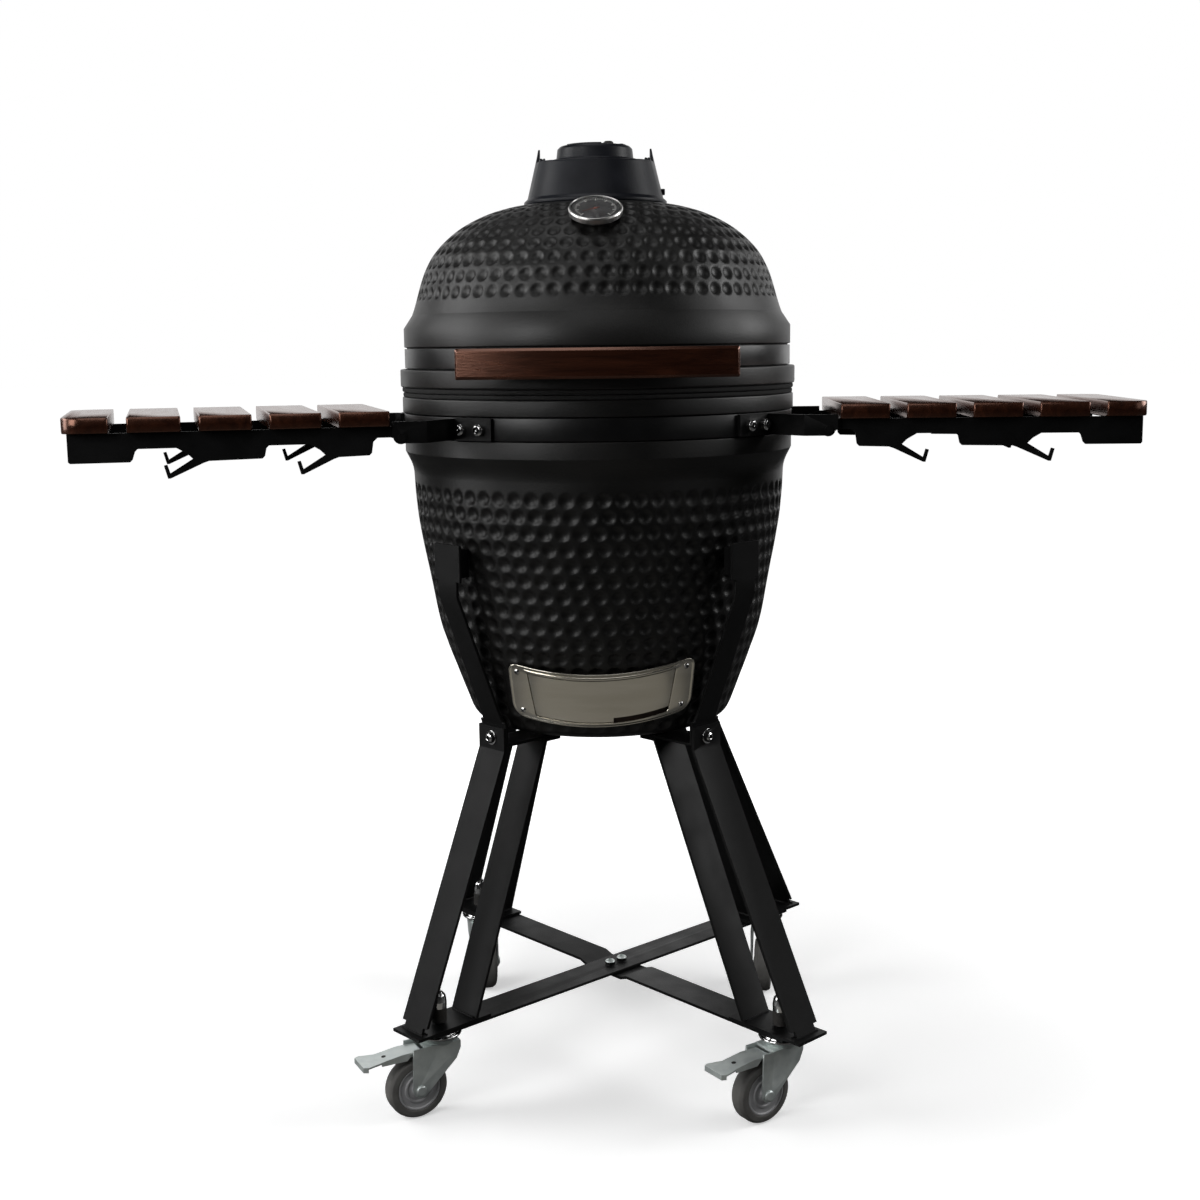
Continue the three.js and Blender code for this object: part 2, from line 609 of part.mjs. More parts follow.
// ---------------------------------------------------------------- casters
// local frame: swivel axis on Z, the wheel trails along +X
const casterTop = barTop - STRAP_T - GAP;
const PEDAL_Z = 89.3;         // cross pin that the brake pedals turn on
const casters = [
  ['front_left', -1, -1, 208], ['front_right', 1, -1, 214],
  ['rear_left', -1, 1, 284], ['rear_right', 1, 1, 262],
];
for (const [where, sx, sy, heading] of casters) {
  const place = (body) => body.rotate([0, 0, heading]).translate([...footAt(sx, sy), 0]);
  const isFront = where.startsWith('front');
  // stem with the upper bearing race and the tall cap nut
  const stem = solid(turned([
    [0, 93], [6, 93], [6, casterTop - 6], [29, casterTop - 6], [29, casterTop - 3],
    [27, casterTop], [6, casterTop], [6, FOOT_Z + STRAP_T + GAP], [11, FOOT_Z + STRAP_T + GAP],
    [11, 148], [9, 157], [0, 163],
  ], 12));
  add(`caster_stem_${where}`, place(stem), steel());
  // fork: crown plate with a raised lower race, two cheeks and the axle
  const crown = solid(turned([
    [6.6, 95], [20, 95], [24, casterTop - 8], [28, casterTop - 6 - GAP], [6.6, casterTop - 6 - GAP],
  ], 12));
  const cheekShape = [
    [-22, 96.5], [TRAIL + 9, 96.5], [TRAIL + 11, 40], [TRAIL + 8, 34], [TRAIL + 3, 31],
    [TRAIL - 4, 31], [TRAIL - 9, 35], [-16, 74], [-22, 88],
  ];
  const cheeks = [];
  for (const side of [-1, 1]) {
    const y0 = side > 0 ? 16 : -18.5;
    cheeks.push(solid(upright(cheekShape, y0, y0 + 2.5)));
  }
  const bridge = solid(slab([
    [-22, -18.5], [26, -18.5], [26, 18.5], [-22, 18.5],
  ], 93, 97));
  const stemRoom = solid(rod([0, 0, 80], [0, 0, 120], 6.6, 12));
  const axle = solid(rod([TRAIL, -21.5, WHEEL_R], [TRAIL, 21.5, WHEEL_R], 5, 12));
  add(`fork_${where}`, place(union([crown, bridge, ...cheeks]).subtract(stemRoom).add(axle)), zinc());
  // wheel: tyre with a narrower hub
  const wheelGeo = turned([
    [5.3, -14], [12, -14], [12, -10], [28, -10], [30, -12.5], [37, -12.5],
    [WHEEL_R, -6], [WHEEL_R, 6], [37, 12.5], [30, 12.5], [28, 10], [12, 10], [12, 14],
    [5.3, 14],
  ], 20);
  wheelGeo.rotateX(Math.PI / 2);
  wheelGeo.translate(TRAIL, 0, WHEEL_R);
  add(`wheel_${where}`, place(solid(wheelGeo)), rubber());
  if (isFront) {
    // stamped pedal, hinged on a cross pin between the cheeks and above the tyre
    const tread = solid(slab([
      [84, -14.5], [104, -20], [110, -17], [110, 17], [104, 20], [84, 14.5],
    ], 85.5, 88));
    const neck = solid(strap([[30, 91], [56, 91], [66, 89.5], [86, 86.75]], 2.5, 29));
    const skirts = [];
    for (const y0 of [-14.5, 12.5]) {
      skirts.push(solid(upright([[46, 92], [84, 88], [84, 82.5], [50, 82.5], [46, 87]], y0, y0 + 2)));
    }
    const shoe = solid(upright([[38, 83.4], [48, 83.4], [48, 90.4], [38, 90.4]], -8, 8));
    const pivot = solid(rod([32, -15.4, PEDAL_Z], [32, 15.4, PEDAL_Z], 3, 12));
    const edge = solid(slab([[104, -20], [110, -17], [110, 17], [104, 20]], 81, 88));
    add(`brake_pedal_${where}`, place(union([tread, neck, ...skirts, shoe, pivot, edge])), zinc());
  }
}

// ---------------------------------------------------------------- side tables
const CLAMP_Z0 = 862;         // lower and upper edges of the clamps on the lower band
const CLAMP_Z1 = 889;
const CLAMP_MID = 875.5;
const slatRows = [[306, 366], [386, 446], [466, 526], [546, 606], [626, 678]];
for (const [side, sx] of [['left', -1], ['right', 1]]) {
  // local frame of the right table: u outward on X, v to the rear on Y; the left one mirrors it
  const place = (body) => {
    const made = body.rotate([0, 0, -TOE[side]]);
    return sx > 0 ? made : made.mirror([1, 0, 0]);
  };
  slatRows.forEach(([u0, u1], index) => {
    const last = index === slatRows.length - 1;
    const cut = last ? 22 : 2;
    const outline = [
      [u0 + 2, SLAT_V0], [u1 - cut, SLAT_V0],
      ...(last ? arcPoints(u1 - 22, SLAT_V0 + 22, 22, -Math.PI / 2, 0, 6) : [[u1, SLAT_V0 + 2]]),
      ...(last ? arcPoints(u1 - 22, SLAT_V1 - 22, 22, 0, Math.PI / 2, 6) : [[u1, SLAT_V1 - 2]]),
      [u1 - cut, SLAT_V1], [u0 + 2, SLAT_V1], [u0, SLAT_V1 - 2], [u0, SLAT_V0 + 2],
    ];
    const clean = outline.filter((p, i) => {
      const q = outline[(i + 1) % outline.length];
      return Math.hypot(p[0] - q[0], p[1] - q[1]) > 0.5;
    });
    add(`table_slat_${side}_${index + 1}`,
      place(solid(slab(clean, TABLE_TOP_Z - SLAT_T, TABLE_TOP_Z))), wood());
  });
  // two aprons with utensil hooks, tied by three flat strips
  const top = TABLE_TOP_Z - SLAT_T - GAP;
  const low = 854;
  const apron = [
    [300, top], [672, top], [672, low + 2], [670, low], [604, low], [601, low + 3], [598, 866],
    [595, 869], [552, 869], [540, 862],
    [534, low + 2], [560, 840], [563, 850], [567, 849], [563, 834], [560, 834], [522, low - 3],
    [516, low - 1], [455, low], [452, low + 3], [450, 866], [447, 869], [400, 869], [388, 862],
    [382, low + 2], [408, 840], [411, 850], [415, 849], [411, 834], [408, 834], [372, low - 3],
    [366, low - 1], [330, low], [327, low + 3], [325, 870], [320, 874.5],
    ...arcPoints(ROD_U, ROD_Z, 9, -0.05, -Math.PI * 1.55, 12),
  ];
  const frameParts = [];
  for (const v of [-180, 66]) {
    frameParts.push(upright(apron, v, v + 4));
  }
  for (const u of [336, 496, 650]) {
    frameParts.push(box(u - 12, u + 12, -179, 69, top - 3, top));
  }
  const rodRoom = solid(rod([ROD_U, -200, ROD_Z], [ROD_U, 120, ROD_Z], 5.15, 16));
  const frameBody = union(frameParts.map((g) => solid(g))).subtract(rodRoom);
  add(`table_frame_${side}`, place(frameBody), powder());
  // bracket: front arm and rear arm on the band, joined by the fold rod
  const inner = 258.2 + GAP;
  // the facets line up with those of the band once the bracket is turned into place
  const aligned = (profile) => solid(turned(profile)).rotate([0, 0, TOE[side]]);
  const clamp = (a0, a1) => aligned([
    [inner, CLAMP_Z0], [264, CLAMP_Z0], [264, CLAMP_Z1], [inner, CLAMP_Z1],
  ]).intersect(solid(wedge(a0, a1, 300, 850, 900)));
  const arm = (path, thick) => solid(strap(path, thick, CLAMP_Z1 - CLAMP_Z0 - 1)
    .rotateX(Math.PI / 2).translate(0, 0, (CLAMP_Z0 + CLAMP_Z1) / 2));
  const armFront = arm([[219, 139], [263, 187], [303, 187]], 4);
  const armRear = arm([[249, -64], [262, -75], [302, -75]], 4);
  const shellRoom = aligned([[0, 800], [inner, 800], [inner, 900], [0, 900]]);
  const chamfer = solid(upright([[288, CLAMP_Z0 - 2], [308, CLAMP_Z0 - 2], [308, CLAMP_Z0 + 12]],
    -200, 90));
  const foldRod = solid(rod([ROD_U, -191, ROD_Z], [ROD_U, 78, ROD_Z], 5, 16));
  const bolts = [];
  for (const a of [47.8, 54]) {
    const d = [Math.sin(a * Math.PI / 180), -Math.cos(a * Math.PI / 180)];
    bolts.push(solid(rod(
      [d[0] * 263, d[1] * 263, CLAMP_MID],
      [d[0] * 270, d[1] * 270, CLAMP_MID],
      6.5,
      12,
    )));
  }
  const arms = union([armFront, armRear]).subtract(shellRoom).subtract(chamfer);
  const bracket = union([clamp(44.4, 57.4), clamp(99, 113), arms, foldRod, ...bolts]);
  add(`table_bracket_${side}`, place(bracket), powder());
}

export default group;
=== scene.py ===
"""Looks for a kamado ceramic grill on a steel cart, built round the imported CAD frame."""

import math

import bmesh
import bpy
from mathutils import Matrix, Vector


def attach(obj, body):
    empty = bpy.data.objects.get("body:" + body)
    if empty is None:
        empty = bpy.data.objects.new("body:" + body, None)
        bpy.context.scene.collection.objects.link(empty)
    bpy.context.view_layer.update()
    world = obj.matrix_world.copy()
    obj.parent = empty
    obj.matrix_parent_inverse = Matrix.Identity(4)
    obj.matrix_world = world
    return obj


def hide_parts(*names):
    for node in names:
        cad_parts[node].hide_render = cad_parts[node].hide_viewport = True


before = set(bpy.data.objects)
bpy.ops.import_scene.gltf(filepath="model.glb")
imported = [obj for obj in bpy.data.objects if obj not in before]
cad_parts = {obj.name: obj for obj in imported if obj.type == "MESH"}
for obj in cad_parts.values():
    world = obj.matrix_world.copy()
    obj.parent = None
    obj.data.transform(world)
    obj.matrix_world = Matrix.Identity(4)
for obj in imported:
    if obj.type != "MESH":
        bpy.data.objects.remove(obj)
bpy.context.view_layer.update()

MM = 0.001
CORNERS = (
    ("front_left", -1, -1, 208),
    ("front_right", 1, -1, 214),
    ("rear_left", -1, 1, 284),
    ("rear_right", 1, 1, 262),
)
SIDES = (("left", -1), ("right", 1))
FOOT_R = 311          # caster stem distance from the body axis, mm
TRAIL = 34            # axle offset from the swivel axis, mm
WHEEL_R = 40
TOE = {"left": math.radians(15), "right": math.radians(3)}  # tables' outer ends point forward
CRADLE_YAW = math.radians(-1.5)    # how far the cradle and leg tops are turned
FEET_YAW = math.radians(-3)        # how far the square of feet is turned
FEET_SHIFT = 16                    # and how far it is set toward +X, mm


# ------------------------------------------------------------------ materials
def link(tree, a, b):
    tree.links.new(a, b)


def node(tree, kind, values=None, links=None):
    """A shader node with its constants set and its inputs linked."""
    made = tree.nodes.new(f"ShaderNode{kind}")
    for socket, value in (values or {}).items():
        made.inputs[socket].default_value = value
    for socket, source in (links or {}).items():
        link(tree, source, made.inputs[socket])
    return made


def new_material(name, values):
    mat = bpy.data.materials.new(name)
    mat.use_nodes = True
    shader = mat.node_tree.nodes["Principled BSDF"]
    for socket, value in values.items():
        shader.inputs[socket].default_value = value
    return mat, mat.node_tree, shader


def blend_over(tree, under, colour, noise, low, high, amount):
    """The colour `under`, covered with `colour` where the noise is high."""
    pick = node(tree, "MapRange", {"From Min": low, "From Max": high, "To Max": amount},
                {"Value": noise.outputs["Fac"]})
    mix = node(tree, "MixRGB", {"Color2": (*colour, 1)},
               {"Fac": pick.outputs["Result"], "Color1": under})
    return mix.outputs["Color"]


def surface(name, colours, rough, metal=0.0, scale=60.0, stretch=(1, 1, 1), bump=0.1,
            bump_scale=900.0, bump_size=0.0003, specular=0.5, spots=0.0):
    """A solid finish: colour and gloss drift over the surface, with fine relief in the bump."""
    mat, tree, shader = new_material(name, {"Metallic": metal, "Specular IOR Level": specular})
    coords = node(tree, "TexCoord").outputs["Object"]
    mapped = node(tree, "Mapping", {"Scale": stretch}, {"Vector": coords}).outputs["Vector"]
    drift = node(tree, "TexNoise", {"Scale": scale, "Detail": 5}, {"Vector": mapped})
    ramp = node(tree, "ValToRGB", links={"Fac": drift.outputs["Fac"]})
    for stop, position, colour in zip(ramp.color_ramp.elements, (0.35, 0.65), colours):
        stop.position = position
        stop.color = (*colour, 1)
    colour_out = ramp.outputs["Color"]
    if spots:
        speck = node(tree, "TexNoise", {"Scale": bump_scale * 0.7, "Detail": 2},
                     {"Vector": coords})
        light_spot = [min(1, c * 2.2) for c in colours[1]]
        colour_out = blend_over(tree, colour_out, light_spot, speck, 0.62, 0.72, spots)
    link(tree, colour_out, shader.inputs["Base Color"])
    gloss = node(tree, "MapRange", {"From Min": 0.3, "From Max": 0.7, "To Min": rough[0],
                                    "To Max": rough[1]}, {"Value": drift.outputs["Fac"]})
    link(tree, gloss.outputs["Result"], shader.inputs["Roughness"])
    grain = node(tree, "TexNoise", {"Scale": bump_scale, "Detail": 4}, {"Vector": mapped})
    relief = node(tree, "Bump", {"Strength": bump, "Distance": bump_size},
                  {"Height": grain.outputs["Fac"]})
    link(tree, relief.outputs["Normal"], shader.inputs["Normal"])
    return mat


def timber(name, along, turn=0.0):
    """Varnished red-brown wood; `along` is the grain axis and `turn` its heading in radians."""
    mat, tree, shader = new_material(name, {
        "Specular IOR Level": 1.0, "IOR": 1.6, "Specular Tint": (1.0, 0.52, 0.38, 1)})
    squeeze = [1.0, 1.0, 1.0]
    squeeze["XYZ".index(along)] = 0.06
    coords = node(tree, "TexCoord").outputs["Object"]
    heading = node(tree, "Mapping", {"Rotation": (0, 0, turn)}, {"Vector": coords})
    mapped = node(tree, "Mapping", {"Scale": squeeze},
                  {"Vector": heading.outputs["Vector"]}).outputs["Vector"]
    figure = node(tree, "TexNoise", {"Scale": 75, "Detail": 8, "Distortion": 0.9},
                  {"Vector": mapped})
    ramp = node(tree, "ValToRGB", links={"Fac": figure.outputs["Fac"]})
    stops = ramp.color_ramp.elements
    stops[0].position = 0.3
    stops[0].color = (0.012, 0.0034, 0.0018, 1)
    stops[1].position = 0.72
    stops[1].color = (0.046, 0.0125, 0.0055, 1)
    middle = stops.new(0.52)
    middle.color = (0.026, 0.0072, 0.0033, 1)
    pores = node(tree, "TexNoise", {"Scale": 420, "Detail": 3}, {"Vector": mapped})
    colour = blend_over(tree, ramp.outputs["Color"], (0.008, 0.0025, 0.0015), pores, 0.56, 0.68,
                        0.55)
    link(tree, colour, shader.inputs["Base Color"])
    gloss = node(tree, "MapRange", {"To Min": 0.20, "To Max": 0.31},
                 {"Value": figure.outputs["Fac"]})
    link(tree, gloss.outputs["Result"], shader.inputs["Roughness"])
    relief = node(tree, "Bump", {"Strength": 0.25, "Distance": 0.0004},
                  {"Height": pores.outputs["Fac"]})
    link(tree, relief.outputs["Normal"], shader.inputs["Normal"])
    return mat


GLAZE = surface("matt_glaze", ((0.0030, 0.0029, 0.0027), (0.0058, 0.0055, 0.0051)), (0.40, 0.50),
                scale=14, bump=0.3, bump_scale=520, bump_size=0.0005, spots=0.12,
                specular=0.42)
BAND = surface("satin_black_band", ((0.004, 0.004, 0.0043), (0.0065, 0.0065, 0.0068)), (0.3, 0.42),
               scale=18, bump=0.12, bump_scale=1400, bump_size=0.0002, specular=0.4)
POWDER = surface("powder_coat", ((0.002, 0.002, 0.0021), (0.0035, 0.0035, 0.0037)), (0.44, 0.56),
                 scale=25, bump=0.35, bump_scale=1500, specular=0.2)
CLAY = surface("fire_clay", ((0.36, 0.25, 0.17), (0.52, 0.39, 0.28)), (0.85, 0.95), scale=35,
               bump=0.6, bump_scale=350, bump_size=0.0008, spots=0.3)
FELT = surface("felt", ((0.008, 0.008, 0.008), (0.016, 0.016, 0.016)), (0.92, 1.0), scale=300,
               bump=0.7, bump_scale=1600, bump_size=0.0005)
STAINLESS = surface("polished_stainless", ((0.74, 0.70, 0.60), (0.84, 0.80, 0.70)), (0.16, 0.24),
                    metal=1.0, scale=9, stretch=(1, 1, 6), bump=0.05, bump_scale=300,
                    bump_size=0.0001)
CHROME = surface("chrome_plate", ((0.62, 0.62, 0.62), (0.75, 0.75, 0.75)), (0.08, 0.18), metal=1.0,
                 bump=0.03, bump_size=0.0001)
# painted shade: this steel is near-black so that the door's slot, the only place the ash screen
# shows, reads as a dark hollow
SLOT_SHADE_STEEL = surface("steel_with_painted_slot_shade", ((0.020, 0.012, 0.008), (0.045, 0.028, 0.018)), (0.6, 0.8),
                metal=0.3, scale=40, bump=0.2, bump_scale=500)
BEZEL = surface("brushed_bezel", ((0.50, 0.50, 0.49), (0.64, 0.63, 0.61)), (0.27, 0.36), metal=1.0,
                scale=70, bump=0.04, bump_size=0.0001)
GRATE = surface("grate_steel", ((0.48, 0.47, 0.45), (0.62, 0.61, 0.58)), (0.25, 0.4), metal=1.0,
                scale=80, bump_size=0.0002)
ZINC = surface("zinc_plate", ((0.58, 0.63, 0.62), (0.70, 0.75, 0.73)), (0.34, 0.48), metal=0.6,
               scale=70, bump=0.12, bump_scale=700, bump_size=0.0002)
IRON = surface("cast_iron_enamel", ((0.0045, 0.0052, 0.0078), (0.008, 0.0092, 0.0135)),
               (0.36, 0.48), scale=20, bump=0.35, bump_scale=800, bump_size=0.0004,
               specular=0.22)
RAW_IRON = surface("raw_cast_iron", ((0.018, 0.017, 0.016), (0.04, 0.037, 0.034)), (0.6, 0.8),
                   metal=0.3, scale=50, bump=0.8, bump_scale=500, bump_size=0.0008)
TREAD = surface("grey_rubber", ((0.115, 0.112, 0.106), (0.16, 0.156, 0.148)), (0.6, 0.78),
                scale=40, bump=0.3)
HUB = surface("grey_nylon", ((0.40, 0.40, 0.41), (0.48, 0.48, 0.49)), (0.42, 0.55), scale=30,
              bump=0.15, bump_scale=1100, bump_size=0.0002)
PRINT = {"scale": 90, "bump": 0.05, "bump_scale": 1500, "bump_size": 0.0001}
DIAL = surface("dial_face", ((0.045, 0.045, 0.045), (0.065, 0.065, 0.065)), (0.35, 0.45), **PRINT)
MARKS = surface("dial_marks", ((0.72, 0.71, 0.68), (0.8, 0.79, 0.76)), (0.45, 0.55), **PRINT)
NEEDLE = surface("dial_needle", ((0.26, 0.05, 0.03), (0.34, 0.07, 0.04)), (0.4, 0.5), **PRINT)
GLASS, _, _ = new_material("dial_glass", {
    "Base Color": (1, 1, 1, 1), "Roughness": 0.02, "Transmission Weight": 1.0, "IOR": 1.1})
HANDLE_WOOD = timber("handle_wood", "X")
SLAT_WOOD = {
    "left": timber("slat_wood_left", "Y", -TOE["left"]),
    "right": timber("slat_wood_right", "Y", TOE["right"]),
}


# ------------------------------------------------------------------ mesh helpers
BOX_FACES = [[0, 1, 3, 2], [4, 6, 7, 5], [0, 4, 5, 1], [2, 3, 7, 6], [0, 2, 6, 4], [1, 5, 7, 3]]


def piece(name, mesh, body, material, replaces=(), sharp=35):
    """Puts a finished mesh in the scene, riding on a CAD body."""
    mesh.shade_smooth()
    mesh.set_sharp_from_angle(angle=math.radians(sharp))
    obj = bpy.data.objects.new(name, mesh)
    bpy.context.scene.collection.objects.link(obj)
    mesh.materials.append(material)
    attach(obj, body)
    if replaces:
        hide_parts(*replaces)
    return obj


def polar(radius, angle):
    return (radius * math.cos(angle), radius * math.sin(angle))


def loft_faces(rings, n, loop=False, caps=True):
    """Faces between rings of n points each; the last ring meets the first in a loop."""
    faces = []
    if caps and not loop:
        faces = [list(range(n)), list(range((rings - 1) * n, rings * n))]
    for i in range(rings if loop else rings - 1):
        a, b = i * n, (i + 1) % rings * n
        for k in range(n):
            m = (k + 1) % n
            faces.append([a + k, a + m, b + m, b + k])
    return faces


def mesh_of(name, verts, faces, matrix=None, scale=MM):
    mesh = bpy.data.meshes.new(name)
    points = [Vector(v) * scale for v in verts]
    if matrix is not None:
        points = [matrix @ p for p in points]
    mesh.from_pydata(points, [], faces)
    bm = bmesh.new()
    bm.from_mesh(mesh)
    bmesh.ops.remove_doubles(bm, verts=bm.verts, dist=1e-6)
    bmesh.ops.recalc_face_normals(bm, faces=bm.faces)
    bm.to_mesh(mesh)
    bm.free()
    return mesh


def rounded(profile, radius, steps=3, closed=True):
    """The outline with each corner turned into a small arc."""
    out = []
    n = len(profile)
    for i, p in enumerate(profile):
        here = Vector(p[:2])
        before = Vector(profile[i - 1][:2])
        after = Vector(profile[(i + 1) % n][:2])
        if not closed and i in (0, n - 1):
            out.append(tuple(here))
            continue
        a, b = before - here, after - here
        la, lb = a.length, b.length
        if la < 1e-6 or lb < 1e-6:
            out.append(tuple(here))
            continue
        a, b = a / la, b / lb
        bend = a.angle(b)
        if bend > math.radians(172):
            out.append(tuple(here))
            continue
        r = p[2] if len(p) > 2 else radius
        reach = min(r / math.tan(bend / 2), la * 0.45, lb * 0.45)
        r = reach * math.tan(bend / 2)
        centre = here + (a + b).normalized() * (r / math.sin(bend / 2))
        start, end = here + a * reach, here + b * reach
        s, e = start - centre, end - centre
        sweep = s.angle_signed(e)
        a0 = math.atan2(s.y, s.x)
        for k in range(steps + 1):
            t = a0 - sweep * k / steps
            out.append((centre.x + r * math.cos(t), centre.y + r * math.sin(t)))
    return out


def revolve(name, profile, segments=128, matrix=None):
    """Turns an outline of (radius, height) about Z. Points on the axis become poles."""
    turns = [math.tau * k / segments for k in range(segments)]
    verts = [(*polar(r, a), z) for r, z in profile for a in turns]
    faces = []
    rows = len(profile)
    for i in range(rows):
        j = (i + 1) % rows
        if profile[i][0] < 1e-6 and profile[j][0] < 1e-6:
            continue
        for k in range(segments):
            m = (k + 1) % segments
            face = [i * segments + k, i * segments + m, j * segments + m, j * segments + k]
            if profile[i][0] < 1e-6:
                face = [face[0], face[2], face[3]]
            elif profile[j][0] < 1e-6:
                face = face[:3]
            faces.append(face)
    return mesh_of(name, verts, faces, matrix)


def turned(profile, radius, steps=3, segments=128, matrix=None):
    """A revolved outline with its corners rounded."""
    return revolve("turned", rounded(profile, radius, steps), segments, matrix)


def mirrored(half):
    """Half an outline, followed by its mirror image in z."""
    return half + [(p[0], -p[1], *p[2:]) for p in reversed(half)]


def box_mesh(xs, ys, zs):
    verts = [(x, y, z) for x in xs for y in ys for z in zs]
    return mesh_of("box", verts, BOX_FACES)


def prism(name, outline, z0, z1, matrix=None, edge=0.0):
    """Straight-sided solid from an outline, with its rims softened by `edge`."""
    rings = [(z0, edge), (z0 + edge, 0), (z1 - edge, 0), (z1, edge)] if edge else [(z0, 0), (z1, 0)]
    centre = sum((Vector(p[:2]) for p in outline), Vector((0, 0))) / len(outline)
    verts = []
    for z, inset in rings:
        for p in outline:
            q = Vector(p[:2])
            d = q - centre
            q = q - d.normalized() * inset if inset else q
            verts.append((q.x, q.y, z))
    return mesh_of(name, verts, loft_faces(len(rings), len(outline)), matrix)


def join(name, meshes):
    """One mesh from several closed ones."""
    bm = bmesh.new()
    for mesh in meshes:
        bm.from_mesh(mesh)
    out = bpy.data.meshes.new(name)
    bm.to_mesh(out)
    bm.free()
    for mesh in meshes:
        bpy.data.meshes.remove(mesh)
    return out


def soften(obj, width, limit):
    """Rounds the hard edges of a piece."""
    mod = obj.modifiers.new("edges", "BEVEL")
    mod.width = width
    mod.segments = 2
    mod.limit_method = "ANGLE"
    mod.angle_limit = math.radians(limit)
    mod.harden_normals = True
    return mod


def refined(part, body, material, bevel, shift=None, limit=38):
    """The CAD node's own shape with flat faces merged and every hard edge rounded."""
    bm = bmesh.new()
    bm.from_mesh(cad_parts[part].data)
    bmesh.ops.remove_doubles(bm, verts=bm.verts, dist=2e-6)
    for v in bm.verts if shift else ():
        v.co += shift(v.co)
    bmesh.ops.dissolve_limit(bm, angle_limit=math.radians(1.5), verts=bm.verts, edges=bm.edges)
    bmesh.ops.recalc_face_normals(bm, faces=bm.faces)
    mesh = bpy.data.meshes.new(f"{part}_shape")
    bm.to_mesh(mesh)
    bm.free()
    obj = piece(f"{part}_piece", mesh, body, material, (part,), sharp=limit)
    soften(obj, bevel, limit).use_clamp_overlap = True


def frame_at(origin, axis, up=(0, 0, 1)):
    """Matrix whose Z points along `axis`, set at `origin` (metres)."""
    z = Vector(axis).normalized()
    ref = Vector(up) if abs(z.dot(Vector(up))) < 0.95 else Vector((1, 0, 0))
    x = ref.cross(z).normalized()
    y = z.cross(x)
    m = Matrix((x, y, z)).transposed().to_4x4()
    m.translation = Vector(origin)
    return m


def boolean(obj_mesh, tool_mesh, name):
    """Mesh A minus mesh B."""
    a = bpy.data.objects.new("cut_a", obj_mesh)
    b = bpy.data.objects.new("cut_b", tool_mesh)
    for o in (a, b):
        bpy.context.scene.collection.objects.link(o)
    mod = a.modifiers.new("cut", "BOOLEAN")
    mod.operation = "DIFFERENCE"
    mod.solver = "EXACT"
    mod.object = b
    dg = bpy.context.evaluated_depsgraph_get()
    out = bpy.data.meshes.new_from_object(a.evaluated_get(dg))
    out.name = name
    bpy.data.objects.remove(a)
    bpy.data.objects.remove(b)
    return out


def domed_bolt(name, origin, axis, radius, height, body, material, washer=True, socket=True):
    """Button-head screw on a thin washer, with a round socket sunk in its head."""
    m = frame_at(origin, axis)
    parts = []
    if washer:
        parts.append(turned([(0, 0), (radius * 1.4, 0), (radius * 1.4, 1.2), (0, 1.2)], 0.4, 3, 40,
                            m))
    base = 1.2 if washer else 0
    rise = [(0, base)]
    rise += [(radius * math.cos(t), base + 0.5 + (height - 0.5) * math.sin(t))
             for t in [math.radians(a) for a in (0, 18, 36, 54, 68)]]
    rim = radius * 0.46
    rise += [(rim, base + height), (rim, base + height * 0.45), (0, base + height * 0.45)]
    if not socket:
        rise = rise[:-3] + [(0, base + height)]
    parts.append(revolve("head", rise, 36 if socket else 40, m))
    return piece(name, join(name, parts), body, material)


# ------------------------------------------------------------------ dimpled ceramic
def door_cone(z):
    """Radius of the lower shell where the draft door sits, mm."""
    return 174 + 0.37 * (z - 490)


def resampled(profile, step):
    """Points about `step` apart along an open outline, keeping its corners."""
    out = [profile[0]]
    for a, b in zip(profile, profile[1:]):
        length = math.dist(a, b)
        n = max(1, round(length / step))
        out += [(a[0] + (b[0] - a[0]) * k / n, a[1] + (b[1] - a[1]) * k / n)
                for k in range(1, n + 1)]
    return out


def smooth_curve(points, rounds=2):
    """Chaikin smoothing of an open outline; the two ends stay put."""
    for _ in range(rounds):
        out = [points[0]]
        for a, b in zip(points, points[1:]):
            out.append((a[0] * 0.75 + b[0] * 0.25, a[1] * 0.75 + b[1] * 0.25))
            out.append((a[0] * 0.25 + b[0] * 0.75, a[1] * 0.25 + b[1] * 0.75))
        out.append(points[-1])
        points = out
    return points


def dimple_rows(curve, z_low, z_high, pitch):
    """[(arc length, radius)] of rows of dimples along the outer curve."""
    rows = []
    s = 0.0
    due = None
    for a, b in zip(curve, curve[1:]):
        length = math.dist(a, b)
        if length < 1e-9:
            continue
        if due is None and min(a[1], b[1]) >= z_low:
            due = s
        while due is not None and s <= due < s + length:
            t = (due - s) / length
            r, z = a[0] + (b[0] - a[0]) * t, a[1] + (b[1] - a[1]) * t
            if z <= z_high:
                rows.append((due, r))
            due += pitch
        s += length
    return rows


